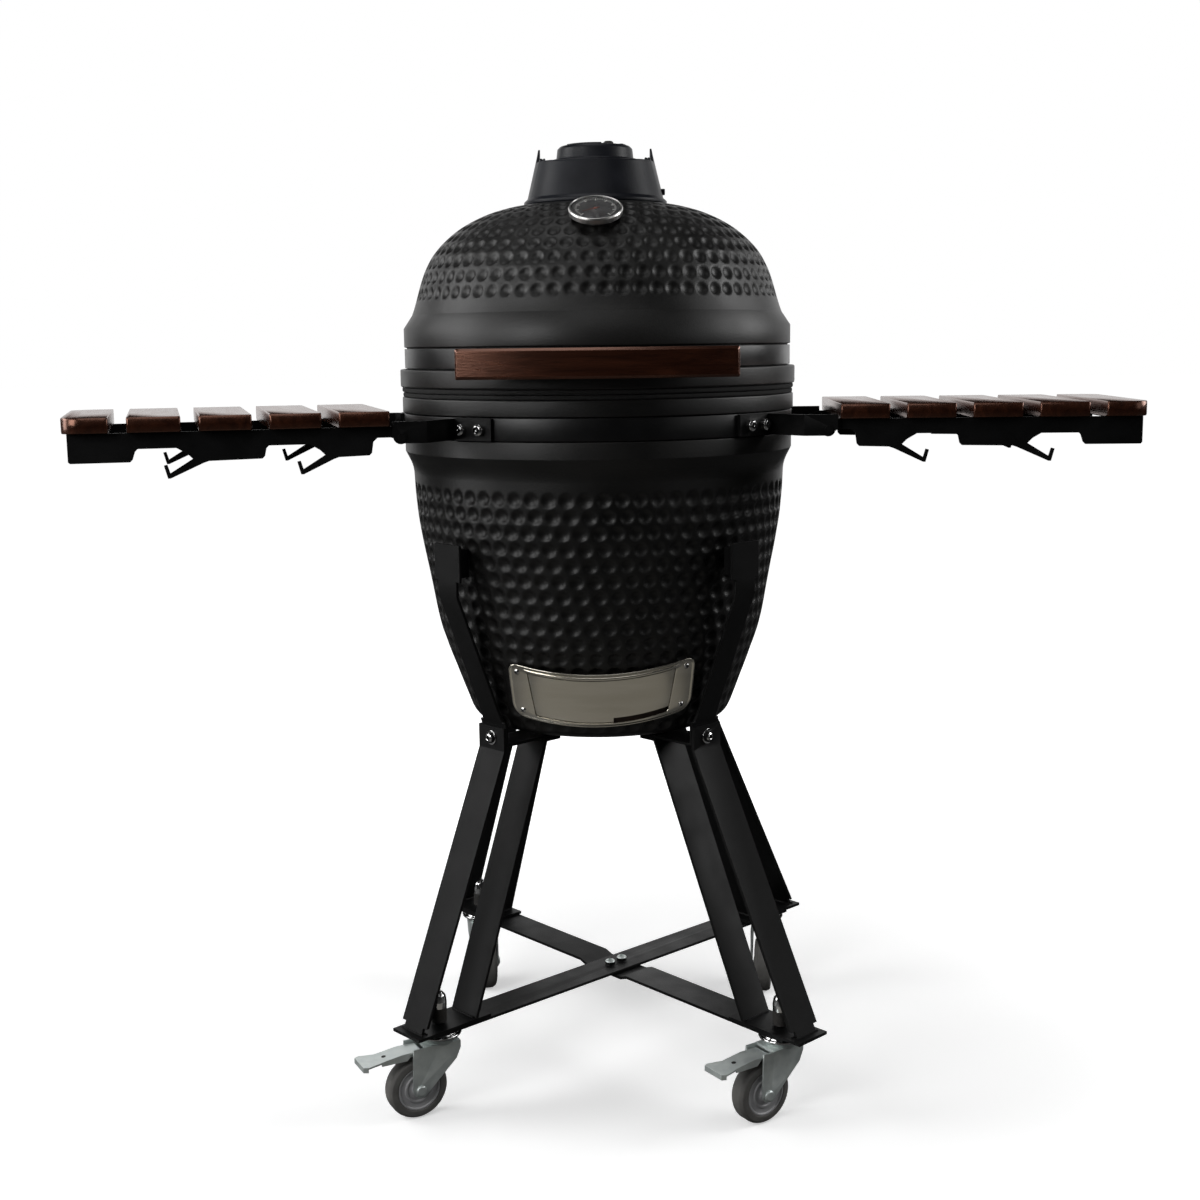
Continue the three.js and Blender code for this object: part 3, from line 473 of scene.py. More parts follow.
def dimpled(name, outer, inner, z_low, z_high, pitch_s, pitch_a, radius, depth, step=2.1):
    """A turned shell whose outer face carries rows of shallow round dimples."""
    curve = resampled(smooth_curve(outer), step)
    segments = round(math.tau * max(r for r, _ in curve) / step / 8) * 8
    rows = dimple_rows(curve, z_low, z_high, pitch_s)
    counts = [max(8, round(math.tau * r / pitch_a)) for _, r in rows]
    verts = []
    lengths = [0.0]
    for a, b in zip(curve, curve[1:]):
        lengths.append(lengths[-1] + math.dist(a, b))
    for i, (r, z) in enumerate(curve):
        before, after = curve[max(i - 1, 0)], curve[min(i + 1, len(curve) - 1)]
        t = Vector((after[0] - before[0], after[1] - before[1])).normalized()
        normal = Vector((t.y, -t.x))
        if normal.x < 0 and abs(normal.x) > abs(normal.y):
            normal = -normal
        near = [(k, lengths[i] - s) for k, (s, _) in enumerate(rows)
                if abs(lengths[i] - s) < radius]
        for c in range(segments):
            angle = math.tau * c / segments
            dent = 0.0
            for k, ds in near:
                n = counts[k]
                turn = (angle / math.tau * n + 0.5 * (k % 2)) % 1.0
                da = (turn - 0.5) * math.tau / n * rows[k][1]
                d2 = (ds * ds + da * da) / (radius * radius)
                if d2 < 1:
                    dent = max(dent, depth * (1 - d2) ** 0.8)
            rr, zz = r - normal.x * dent, z - normal.y * dent
            verts.append((*polar(rr, angle), zz))
    verts += [(*polar(r, math.tau * c / segments), z) for r, z in inner for c in range(segments)]
    # an outline that starts off the axis closes on itself
    starts_off_axis = outer[0][0] > 1e-6
    faces = loft_faces(len(curve) + len(inner), segments, loop=starts_off_axis, caps=False)
    return mesh_of(name, verts, faces)


BOWL_SIDE = [
    (0.0, 475.5), (112, 475.5), (130, 476.1), (147, 478.4), (163, 483.4), (174.5, 491.5),
    (183, 514), (211, 590), (219.4, 619), (228.4, 673), (236.8, 716), (243.2, 754), (246.4, 790),
    (247, 806), (248, 825), (257.9, 845),
]
BOWL_RIM = [
    (258, 845, 1), (258, 865.6, 1), (255, 866.2, 1), (255, 895.6, 1), (260, 896, 1),
    (260, 916, 2), (234, 916, 4), (232, 892, 20), (222, 800, 60), (212, 716, 60), (195, 619, 60),
    (179, 568, 40), (150, 503, 12), (138, 498, 8), (0, 498, 0),
]
DOME_SIDE = [
    (244.6, 1021), (240.8, 1031), (230.6, 1067), (222, 1087), (211.6, 1103), (195, 1120),
    (174.5, 1135), (150, 1147), (136, 1152), (116, 1157.5), (99, 1160.4),
]
DOME_INSIDE = [
    (60, 1160.4, 3), (60, 1140, 3), (125, 1131, 30), (158, 1115, 30), (190, 1087, 30),
    (208, 1056, 30), (219, 1020, 40), (226, 990, 40), (234, 950, 20), (236, 928.5, 4),
    (262, 928.5, 2.5), (262, 951.5, 2), (252.5, 951.8, 1), (252.5, 979.5, 1), (256, 979.8, 1.5),
    (256, 1004, 5),
]


def corner_path(points):
    """The rounded inside outline, ends kept."""
    return rounded(points, 1, steps=4, closed=False)


shell = dimpled("lower_shell_shape", BOWL_SIDE, corner_path(BOWL_RIM), 496, 801,
                pitch_s=20.5, pitch_a=22.5, radius=9.0, depth=3.6)
door_hole = box_mesh((-85, 85), (-240, -110), (519, 565))
piece("lower_shell_piece", boolean(shell, door_hole, "lower_shell_mesh"), "base", GLAZE,
      ("lower_shell",), sharp=48)
dome = dimpled("lid_dome_shape", DOME_SIDE, corner_path(DOME_INSIDE), 1046, 1158,
               pitch_s=20.5, pitch_a=20.5, radius=8.2, depth=3.2)
piece("lid_dome_piece", dome, "lid", GLAZE, ("lid_dome",), sharp=48)


# ------------------------------------------------------------------ bands, gaskets and handle
FINE = 192
# [(name, body, inner radius, outer radius, bottom, top, corner, finish, slot)]
for name, body, r0, r1, z0, z1, corner, finish, slot in (
        ("lower_band", "base", 255.3, 258.2, 867.2, 894.6, 0.9, BAND, "satin_black"),
        ("lower_gasket", "base", 236, 259, 916.3, 921.6, 1.8, FELT, "felt"),
        ("lid_gasket", "lid", 238, 260, 922.4, 928.2, 1.8, FELT, "felt")):
    hoop = turned([(r0, z0), (r1, z0), (r1, z1), (r0, z1)], corner, 3, FINE)
    piece(f"{name}_piece", hoop, body, finish, (name,))


def block(name, x0, x1, y0, y1, z0, z1, edge=0.8):
    """A bar with rounded edges: its XY outline is filleted and its rims are eased."""
    outline = rounded([(x0, y0), (x1, y0), (x1, y1), (x0, y1)], edge, 3)
    return prism(name, outline, z0, z1, edge=edge * 0.5)


POST_X = 118
HANDLE_FRONT = -310
HANDLE_BACK = -289.4
HANDLE_HALF = 169          # along the bow
HANDLE_BOW = 650           # radius of the bar's front face, seen from above


def bowed(x, y, z):
    """The place of a point of the straight bar once the bar is bowed, mm."""
    r = HANDLE_BOW - (y - HANDLE_FRONT)
    turn = x / HANDLE_BOW
    return (r * math.sin(turn), HANDLE_FRONT + HANDLE_BOW - r * math.cos(turn), z)


def bow_mesh(mesh, step=12):
    """Cut a straight mesh across at even steps and bow it."""
    bm = bmesh.new()
    bm.from_mesh(mesh)
    x = -HANDLE_HALF + step / 2
    while x < HANDLE_HALF:
        bmesh.ops.bisect_plane(bm, geom=bm.verts[:] + bm.edges[:] + bm.faces[:], dist=1e-7,
                               plane_co=(x * MM, 0, 0), plane_no=(1, 0, 0))
        x += step
    for v in bm.verts:
        v.co = Vector(bowed(*(v.co / MM))) * MM
    bm.to_mesh(mesh)
    bm.free()
    return mesh


lid_band = [turned([(252.8, 953), (255.6, 953), (255.6, 978), (252.8, 978)], 0.9, 3, FINE)]
for side in (-1, 1):
    x = side * POST_X
    for dx in (-11, 8):
        lid_band.append(block("cheek", x + dx, x + dx + 3, -275.6, -222, 955, 967))
    turn = side * math.asin(POST_X / (HANDLE_BOW + HANDLE_FRONT - HANDLE_BACK))
    s = turn * HANDLE_BOW
    lid_band.append(bow_mesh(block("plate", s - 16, s + 16, -288.6, -284.9, 950, 972, 1.2)))
piece("lid_band_piece", join("lid_band_shape", lid_band), "lid", BAND,
      ("lid_band",))
for side, sx in SIDES:
    for k, dz in enumerate((-5, 5)):
        spot = Vector(bowed(sx * 122, -285.2, 961 + dz)) * MM
        domed_bolt(f"band_rivet_{side}_{k + 1}", spot, (-math.sin(sx * 122 / HANDLE_BOW), 1, 0),
                   2.6, 1.8, "lid", BAND, washer=False, socket=False)


def handle_mesh():
    """Bowed bar, chamfered all round its front and back faces."""
    half, z0, z1, front, back, c = HANDLE_HALF, 942, 978, HANDLE_FRONT, HANDLE_BACK, 3.2
    rings = []
    for y, inset in ((back, c * 0.6), (back - c * 0.7, 0), (front + c, 0), (front, c)):
        outline = rounded([(-half + inset, z0 + inset), (half - inset, z0 + inset),
                           (half - inset, z1 - inset), (-half + inset, z1 - inset)], 2.4, 3)
        rings.append([(x, y, z) for x, z in outline])
    verts = [p for ring in rings for p in ring]
    return bow_mesh(mesh_of("handle_bar_shape", verts, loft_faces(4, len(rings[0]))))


soften(piece("handle_bar_piece", handle_mesh(), "lid", HANDLE_WOOD,
             ("handle_bar",), sharp=25), 0.0006, 20)


# ------------------------------------------------------------------ thermometer
THERM_TILT = math.radians(60)
THERM_AT = Vector((0, -0.176, 1.133))
THERM_AXIS = (0, -math.cos(THERM_TILT), math.sin(THERM_TILT))
THERM_M = frame_at(THERM_AT, THERM_AXIS, up=(0, 0, 1))
bezel = turned([
    (0, 4.5), (30.5, 4.8, 2), (32.8, 6.5, 1.5), (33.2, 12.0, 1.5), (32.2, 14.3, 1.0),
    (31.2, 14.4, 0.4), (30.8, 12.8, 0.3), (30.8, 11.9, 0.2), (0, 11.9)], 0.6, 4, 128, THERM_M)
neck = turned([
    (0, -47.5), (2.9, -45.5, 1), (2.9, 1, 0.4), (8.6, 2.2, 0.8), (8.6, 4.6, 0.3), (0, 4.6)],
    0.4, 3, 48, THERM_M)
piece("thermometer_case", join("thermometer_shape", [bezel, neck]), "lid", BEZEL,
      ("thermometer",))
dial = turned([(0, 12.0), (30.6, 12.0), (30.6, 12.4), (0, 12.4)], 0.1, 3, 96, THERM_M)
piece("thermometer_dial", dial, "lid", DIAL)


def on_dial(x, y, z):
    """A point of the dial's own plane, x right and y up as seen from the front (mm)."""
    right = Vector((1, 0, 0))
    up = Vector((0, math.sin(THERM_TILT), math.cos(THERM_TILT)))
    p = THERM_AT + Vector(THERM_AXIS) * (z * MM)
    return p + right * (x * MM) + up * (y * MM)


def dial_bar(angle, r0, r1, w0, w1, z0, z1):
    """A thin tapered bar on the dial, `angle` clockwise from straight up."""
    verts = []
    for z in (z0, z1):
        for r, w in ((r0, w0), (r1, w1)):
            for s in (-1, 1):
                x = r * math.sin(angle) + s * w / 2 * math.cos(angle)
                y = r * math.cos(angle) - s * w / 2 * math.sin(angle)
                verts.append(on_dial(x, y, z))
    return mesh_of("bar", verts, BOX_FACES, scale=1)


ticks = []
for k in range(41):
    a = math.radians(-135 + 270 * k / 40)
    major = k % 5 == 0
    inner, width = (20.6, 1.1) if major else (22.8, 0.5)
    ticks.append(dial_bar(a, inner, 25.4, width, width, 12.42, 12.5))
piece("thermometer_ticks", join("ticks", ticks), "lid", MARKS, sharp=10)
needle = [dial_bar(math.radians(-118), -5, 18, 1.3, 0.4, 12.7, 12.85)]
needle.append(turned([(0, 12.45), (2.4, 12.45), (2.4, 12.9), (0, 13.0)], 0.15, 3, 32, THERM_M))
piece("thermometer_needle", join("needle", needle), "lid", NEEDLE, sharp=20)
glass = turned([
    (0, 13.3), (18, 13.25, 30), (30.6, 13.1), (30.6, 13.6, 0.2), (18, 14.0, 30), (0, 14.2)],
    0.15, 3, 96, THERM_M)
piece("thermometer_glass", glass, "lid", GLASS)


# ------------------------------------------------------------------ top vent
RIM_Z = 1214          # top of the cone's low front rim
FLOOR_Z = 1205        # top of the cone's floor
# [(offset from the side in radians, height in mm, half width in radians)]
SPIKES = [(-0.36, 6, 0.07), (0.04, 20, 0.14), (0.42, 12, 0.1), (0.84, 9, 0.1)]


def rim_rise(angle):
    """Height of the cone's toothed rim above its low front and back, mm."""
    rise = 0.0
    for base, turn in ((0, 1), (math.pi, -1)):
        for offset, height, width in SPIKES:
            d = abs((angle - base - offset * turn + math.pi) % math.tau - math.pi)
            if d < width:
                rise = max(rise, height * (1 - d / width) ** 0.75)
        d = abs((angle - base + math.pi) % math.tau - math.pi)
        rise = max(rise, 2.0 * max(0.0, 1 - (d / 0.95) ** 4))
    return rise


def vent_cone_mesh():
    outline = rounded([
        (66, 1161.2, 1), (94, 1161.2, 1.5), (94, 1165.6, 1.5), (89.5, 1169.5, 2),
        (77.6, RIM_Z - 1.4, 1), (76.9, RIM_Z, 0.6), (73.2, RIM_Z, 0.6), (72.6, RIM_Z - 2, 1),
        (72.6, FLOOR_Z, 2), (52, FLOOR_Z, 1), (52, FLOOR_Z - 5, 1), (76, FLOOR_Z - 5, 2),
        (84.5, 1168, 3), (66, 1166, 1),
    ], 1, 3)
    segments = 480
    verts = []
    for r, z in outline:
        share = max(0.0, min(1.0, (z - RIM_Z + 5) / 5)) if r > 70 else 0.0
        for k in range(segments):
            a = math.tau * k / segments
            rise = rim_rise(a) * share
            lean = 0.12 * rise
            rr = r - lean * (1 if r > 74.5 else 0.5)
            verts.append((*polar(rr, a), z + rise))
    return mesh_of("vent_wall", verts, loft_faces(len(outline), segments, loop=True))


def sector(name, r0, r1, a0, a1, z0, z1):
    """A flat pie piece between two radii, angles in degrees from the front."""
    n = max(3, round(abs(a1 - a0) / 4))
    angles = [math.radians(a0 + (a1 - a0) * k / n - 90) for k in range(n + 1)]
    outline = [polar(r1, a) for a in angles] + [polar(r0, a) for a in reversed(angles)]
    return prism(name, outline, z0, z1)


floor_parts = [sector("web", 19.9, 52.2, a + 62, a + 128, FLOOR_Z - 4.9, FLOOR_Z - 0.1)
               for a in (0, 120, 240)]
floor_parts.append(turned([
    (0, FLOOR_Z - 5), (21, FLOOR_Z - 5), (21, FLOOR_Z), (6, FLOOR_Z, 1), (6, FLOOR_Z + 14.6, 1.4),
    (0, FLOOR_Z + 15)], 0.6, 3, 64))
floor_parts.append(block("lug", 84.5, 91.6, -4.8, 4.8, 1174.2, 1181.8, 1.5))
piece("vent_cone_piece", join("vent_cone_shape", [vent_cone_mesh(), *floor_parts]), "lid", IRON,
      ("vent_cone",), sharp=40)

disc_parts = [turned([
    (45.6, 1210.6, 1), (60, 1205.7, 1), (60, 1217, 1.2), (57, 1219, 1), (50.8, 1219, 1),
    (49.2, 1233, 3), (45.6, 1236.4, 3), (39.2, 1237.4, 0.6), (39.2, 1232.4, 0.6), (44, 1230, 3),
], 1, 4)]
disc_parts.append(turned([
    (43.6, 1205.7), (58, 1205.7), (58, 1210.4), (43.6, 1210.4)], 0.6, 3, 96))
for a in (0, 120, 240):
    disc_parts.append(sector("low_web", 6.8, 45, a + 62, a + 128, 1205.8, 1210.2))
    disc_parts.append(sector("high_web", 13, 41, a + 58, a + 132, 1233.2, 1238.2))
disc_parts.append(turned([
    (6.7, 1205.7), (14, 1205.7), (14, 1238.3, 1), (0, 1238.4), (0, 1222), (6.7, 1222)], 0.5, 3,
    64))
piece("vent_disc_piece", join("vent_disc_shape", disc_parts), "vent", IRON,
      ("vent_disc",), sharp=40)
knob_m = Matrix.Translation((0.018, 0.012, 0))
knob = turned([
    (0, 1236.2), (4.6, 1236.2), (4.6, 1238.8, 0.4), (6.6, 1239.4, 0.8), (6.6, 1243.8, 1.2),
    (4.5, 1245.3, 1), (0, 1245.4)], 0.4, 4, 48, knob_m)
piece("vent_knob", knob, "vent", RAW_IRON)


# ------------------------------------------------------------------ draft door
def on_cone(azimuth, z, offset):
    """Point on the door's cone, azimuth in degrees from the front, in mm."""
    a = math.radians(azimuth)
    r = door_cone(z) + offset
    return (r * math.sin(a), -r * math.cos(a), z)


FRAME_HALF = 33.3     # degrees; the outer side edges spread a little towards the bottom
FRAME_TOP = 574.5
FLARE = 0.0014        # share by which the side edges spread per millimetre below the top
WINDOW_HALF = 26.6
DIP = 15.5
TILT = 0.09           # mm per degree: the frame sits a little higher on its right
DEG_MM = 3.35         # millimetres of shell per degree of azimuth at the door


def lift(azimuth):
    """How far a straight edge of the bent plate rises away from the middle, mm."""
    return DIP * (azimuth / FRAME_HALF) ** 2 + TILT * azimuth


def door_ring(half, z0, z1, corners, flare=0.0, inset=0.0):
    """Rounded rectangle in (azimuth, z), bent upwards at its sides; corners are (top, bottom)."""
    w, h = half * DEG_MM - inset, (z1 - z0) / 2 - inset
    zc = (z0 + z1) / 2
    top, low = (max(c - inset, 0.5) for c in corners)
    points = []
    for cx, cy, c, a0 in ((w - top, h - top, top, 0), (-w + top, h - top, top, 90),
                          (-w + low, -h + low, low, 180), (w - low, -h + low, low, 270)):
        for k in range(9):
            a = math.radians(a0 + 90 * k / 8)
            points.append((cx + c * math.cos(a), cy + c * math.sin(a)))
    dense = []
    for i, p in enumerate(points):
        q = points[(i + 1) % len(points)]
        n = {8: 40, 17: 20, 26: 40, 35: 20}.get(i, 1)
        dense += [(p[0] + (q[0] - p[0]) * k / n, p[1] + (q[1] - p[1]) * k / n) for k in range(n)]
    return [(x / DEG_MM * (1 + flare * (h - y)), zc + y + lift(x / DEG_MM)) for x, y in dense]


BEAD_HALF = 28
BEAD_R = 2.4
BEAD_RISE = 1.4
BEAD_Z = 567.5


def door_frame_mesh():
    outer = (FRAME_HALF, 500.5, FRAME_TOP, (13, 16), FLARE)
    window = (WINDOW_HALF, 506, 564.5, (3, 3), 0)
    loops = [
        (*outer, 0.5, 4.6), (*outer, 0.0, 5.2), (*outer, 0.1, 6.1), (*outer, 0.6, 6.7),
        (*outer, 1.4, 6.9), (*outer, 2.3, 6.7), (*outer, 3.0, 6.1), (*outer, 3.7, 5.9),
        (*window, -1.2, 5.9), (*window, -0.4, 5.7), (*window, 0.0, 5.0),
    ]
    verts = []
    for half, z0, z1, corners, flare, inset, offset in loops:
        ring = door_ring(half, z0, z1, corners, flare, inset)
        verts += [on_cone(a, z, offset) for a, z in ring]
    n = len(verts) // len(loops)
    plate = mesh_of("door_frame_plate", verts, loft_faces(len(loops), n, loop=True))
    # a half-round bead is rolled into the top rail, over the panel
    verts = []
    angles = range(-180, 180, 30)
    for a in range(-BEAD_HALF, BEAD_HALF + 1):
        ease = min(1, (BEAD_HALF - abs(a)) / 3 + 0.15)
        for t in angles:
            dz, out = BEAD_R * math.cos(math.radians(t)), BEAD_RISE * math.sin(math.radians(t))
            verts.append(on_cone(a, BEAD_Z + dz + lift(a), 5.7 + out * ease))
    bead = mesh_of("bead", verts, loft_faces(2 * BEAD_HALF + 1, len(angles)))
    return join("door_frame_shape", [plate, bead])


def bent_panel(name, columns, o0, o1, edge=0.3):
    """Bent plate on the cone; columns are [(azimuth, z low, z high)] before it is bent up."""
    verts = []
    rows = 8
    for a, z0, z1 in columns:
        ring = [(z0 + edge, o0)] + [(z0 + (z1 - z0) * k / rows, o1 - edge if k in (0, rows) else o1)
                                    for k in range(rows + 1)] + [(z1 - edge, o0)]
        verts += [on_cone(a, z + lift(a), o) for z, o in ring]
    return mesh_of(name, verts, loft_faces(len(columns), len(verts) // len(columns)))


piece("door_frame_piece", door_frame_mesh(), "base", STAINLESS, ("door_frame",),
      sharp=60)
for side, sx in SIDES:
    for k, (azimuth, zz) in enumerate(((sx * 31.6, 509), (sx * 30.4, 563.5))):
        a = math.radians(azimuth)
        p = Vector(on_cone(azimuth, zz + lift(azimuth), 5.8)) * MM
        m = frame_at(p, (math.sin(a), -math.cos(a), -0.37))
        head = turned([(0, 0), (3.9, 0), (3.7, 0.9), (2.6, 2.0), (0, 2.4)], 0.5, 3, 40, m)
        # each head carries a thin black cross as painted shade: it stands for the shade inside the
        # screw's cross recess
        cross = [prism("arm", [(-2.5, -0.45), (2.5, -0.45), (2.5, 0.45), (-2.5, 0.45)], 2.1, 2.5,
                       m @ Matrix.Rotation(turn + k, 4, "Z"), 0.05)
                 for turn in (0.5, 0.5 + math.pi / 2)]
        piece(f"door_screw_{side}_{k + 1}", head, "base", CHROME)
        piece(f"door_screw_slot_{side}_{k + 1}", join("cross", cross), "base", POWDER,
              sharp=20)
NOTCH = (4.6, 26.4)
PANEL_Z = (503.0, 568.5)
SLOT_Z = 512.5
door_columns = []
for a in sorted([*range(-31, 32), NOTCH[0], NOTCH[0] + 0.02, NOTCH[1] - 0.02, NOTCH[1]]):
    low = SLOT_Z if NOTCH[0] < a < NOTCH[1] else PANEL_Z[0]
    door_columns.append((a, low, PANEL_Z[1]))
piece("draft_door_piece", bent_panel("draft_door_shape", door_columns, 2.6, 4.2), "draft",
      STAINLESS, ("draft_door",), sharp=50)


def screen_mesh():
    """Ash screen: a thin plate with a field of upright slots."""
    parts = []
    edges = [-31.0]
    for a in range(-25, 26, 5):
        edges += [a - 1.6, a + 1.6]
    edges.append(31.0)
    for i in range(0, len(edges), 2):
        n = max(2, round(edges[i + 1] - edges[i]))
        turns = [edges[i] + (edges[i + 1] - edges[i]) * k / n for k in range(n + 1)]
        parts.append(bent_panel("bar", [(a, *PANEL_Z) for a in turns], 0.65, 1.5, 0.15))
    for a in range(-25, 26, 5):
        turns = (a - 1.62, a - 0.54, a + 0.54, a + 1.62)
        for z0, z1 in ((PANEL_Z[0], 518), (535.5, 539), (556, PANEL_Z[1])):
            parts.append(bent_panel("rail", [(t, z0, z1) for t in turns], 0.68, 1.47, 0.12))
    return join("ash_screen_shape", parts)


# the ash screen carries painted shade: its near-black steel stands for the dark hollow seen through
# the door's slot
piece("ash_screen_piece", screen_mesh(), "screen", SLOT_SHADE_STEEL, ("ash_screen",),
      sharp=50)


# ------------------------------------------------------------------ fire parts
bowl_mesh = turned([
    (92, 498.3), (132, 498.3), (146, 512, 8), (158, 540, 20), (174, 576, 20), (186, 620, 30),
    (194, 690, 4), (174, 690, 4), (160, 600, 4), (142, 600, 4), (120, 534, 12), (92, 516, 8)],
    2, 4)
air_notch = box_mesh((-79, 79), (-220, -80), (515, 567))
piece("fire_bowl_piece", boolean(bowl_mesh, air_notch, "fire_bowl_shape"), "base", CLAY,
      ("fire_bowl",), sharp=40)
fire_ring = turned([(176, 690.4), (196, 690.4), (214, 849.9), (194, 849.9)], 4, 4, 160)
piece("fire_ring_piece", fire_ring, "base", CLAY, ("fire_ring",))


def bar_rows(radius, pitch, width):
    """(y, half length) of the bars of a slotted round grate between its slots."""
    rows = []
    y = -math.floor(radius / pitch) * pitch + pitch / 2
    while y < radius:
        if abs(y) + width < radius:
            rows.append((y, math.sqrt(radius ** 2 - (abs(y) + width / 2) ** 2)))
        y += pitch
    return rows


def tube(name, points, radius, ring=10, closed=False):
    """Round bar swept along points (mm); open ends are capped."""
    pts = [Vector(p) for p in points]
    n = len(pts)
    verts = []
    normal = None
    for i, p in enumerate(pts):
        if closed:
            t = (pts[(i + 1) % n] - pts[i - 1]).normalized()
        else:
            t = (pts[min(i + 1, n - 1)] - pts[max(i - 1, 0)]).normalized()
        if normal is None:
            ref = Vector((0, 0, 1)) if abs(t.z) < 0.9 else Vector((1, 0, 0))
            normal = (ref - t * ref.dot(t)).normalized()
        else:
            normal = (normal - t * normal.dot(t)).normalized()
        side = t.cross(normal)
        for k in range(ring):
            a = math.tau * k / ring
            verts.append(p + normal * (radius * math.cos(a)) + side * (radius * math.sin(a)))
    return mesh_of(name, verts, loft_faces(n, ring, loop=closed))


def ring_path(radius, z, n=96):
    return [(*polar(radius, math.tau * k / n), z) for k in range(n)]


GRATE_Z = 853.6
grate_parts = [tube("rim", ring_path(220.4, GRATE_Z), 3.3, 12, closed=True)]
grate_parts += [tube("bar", [(-half, y, GRATE_Z), (half, y, GRATE_Z)], 3.0, 10)
                for y, half in bar_rows(219.5, 20, 6)]
grate_parts.append(tube("spine", [(0, -218, GRATE_Z), (0, 218, GRATE_Z)], 3.2, 12))
piece("cooking_grate_piece", join("cooking_grate_shape", grate_parts), "base", GRATE,
      ("cooking_grate",), sharp=60)
refined("charcoal_grate", "base", RAW_IRON, 0.0012)


# ------------------------------------------------------------------ lid hinge
HINGE = (292, 918)
refined("hinge_base", "base", BAND, 0.0009)
refined("hinge_lid", "lid", BAND, 0.0009)
pin_m = frame_at((0, HINGE[0] * MM, HINGE[1] * MM), (1, 0, 0))
hinge_pin = turned(mirrored([
    (0, -70.5), (6, -70.5, 2), (8, -68.5, 1.5), (8, -64.4, 0.5), (5, -64.4, 0.3)]),
    0.5, 4, 48, pin_m)
piece("hinge_pin_piece", hinge_pin, "base", ZINC, ("hinge_pin",))


def coil(name, x0, x1, radius, turns, wire):
    steps = round(turns * 32)
    path = []
    for k in range(steps + 1):
        t = k / steps
        a = math.tau * turns * t
        path.append((x0 + (x1 - x0) * t, HINGE[0] + radius * math.cos(a),
                     HINGE[1] + radius * math.sin(a)))
    return tube(name, path, wire, 12)


for side, x0, x1 in (("left", -46, -14), ("right", 14, 46)):
    piece(f"hinge_spring_{side}_piece", coil(f"spring_{side}", x0 + 1, x1 - 1, 8.4, 4.5, 1.7),
          "base", ZINC, (f"hinge_spring_{side}",), sharp=60)


# ------------------------------------------------------------------ cart
def radial(angle, rho, across, z):
    """Point in the vertical plane through the axis at `angle`, in metres."""
    c, s = math.cos(angle), math.sin(angle)
    return Vector(((rho * c - across * s) * MM, (rho * s + across * c) * MM, z * MM))


def foot_at(sx, sy):
    """Where the stem of that corner meets the floor plane, in metres."""
    return radial(math.atan2(sy, sx) + FEET_YAW, FOOT_R, 0, 0) + Vector((FEET_SHIFT * MM, 0, 0))


for where, sx, sy, heading in CORNERS:
    for part in ("cradle", "leg"):
        refined(f"{part}_{where}", "base", POWDER, 0.0010)
    angle = math.atan2(sy, sx) + CRADLE_YAW
    slip = foot_at(sx, sy) - radial(angle, FOOT_R, 0, 0)
    out = Vector((math.cos(angle), math.sin(angle), 0))
    domed_bolt(f"leg_bolt_{where}", radial(angle, 198.6, 0, 478), out, 7.0, 5.2, "base", CHROME)
    # weld beads where the two bars of the leg meet the foot plate
    for k, (rho, dx) in enumerate(((350, 0), (268, 0))):
        beads = []
        for s in (-1, 1):
            path = [tuple((radial(angle, rho + s * 3.4, -21 + 42 * i / 14,
                                  119.4 + 0.25 * math.sin(i * 2.1)) + slip) / MM)
                    for i in range(15)]
            beads.append(tube("bead", path, 1.5, 8))
        piece(f"weld_{where}_{k + 1}", join("weld", beads), "base", POWDER)
for level in ("upper", "lower"):
    refined(f"crossbar_{level}", "base", POWDER, 0.0010)
for k, d in enumerate((-11, 11)):
    p = radial(math.pi / 4 + FEET_YAW, d, 0, 118.9) + Vector((FEET_SHIFT * MM, 0, 0))
    domed_bolt(f"cross_bolt_{k + 1}", p, (0, 0, 1), 7, 3.4, "base", ZINC, washer=False)


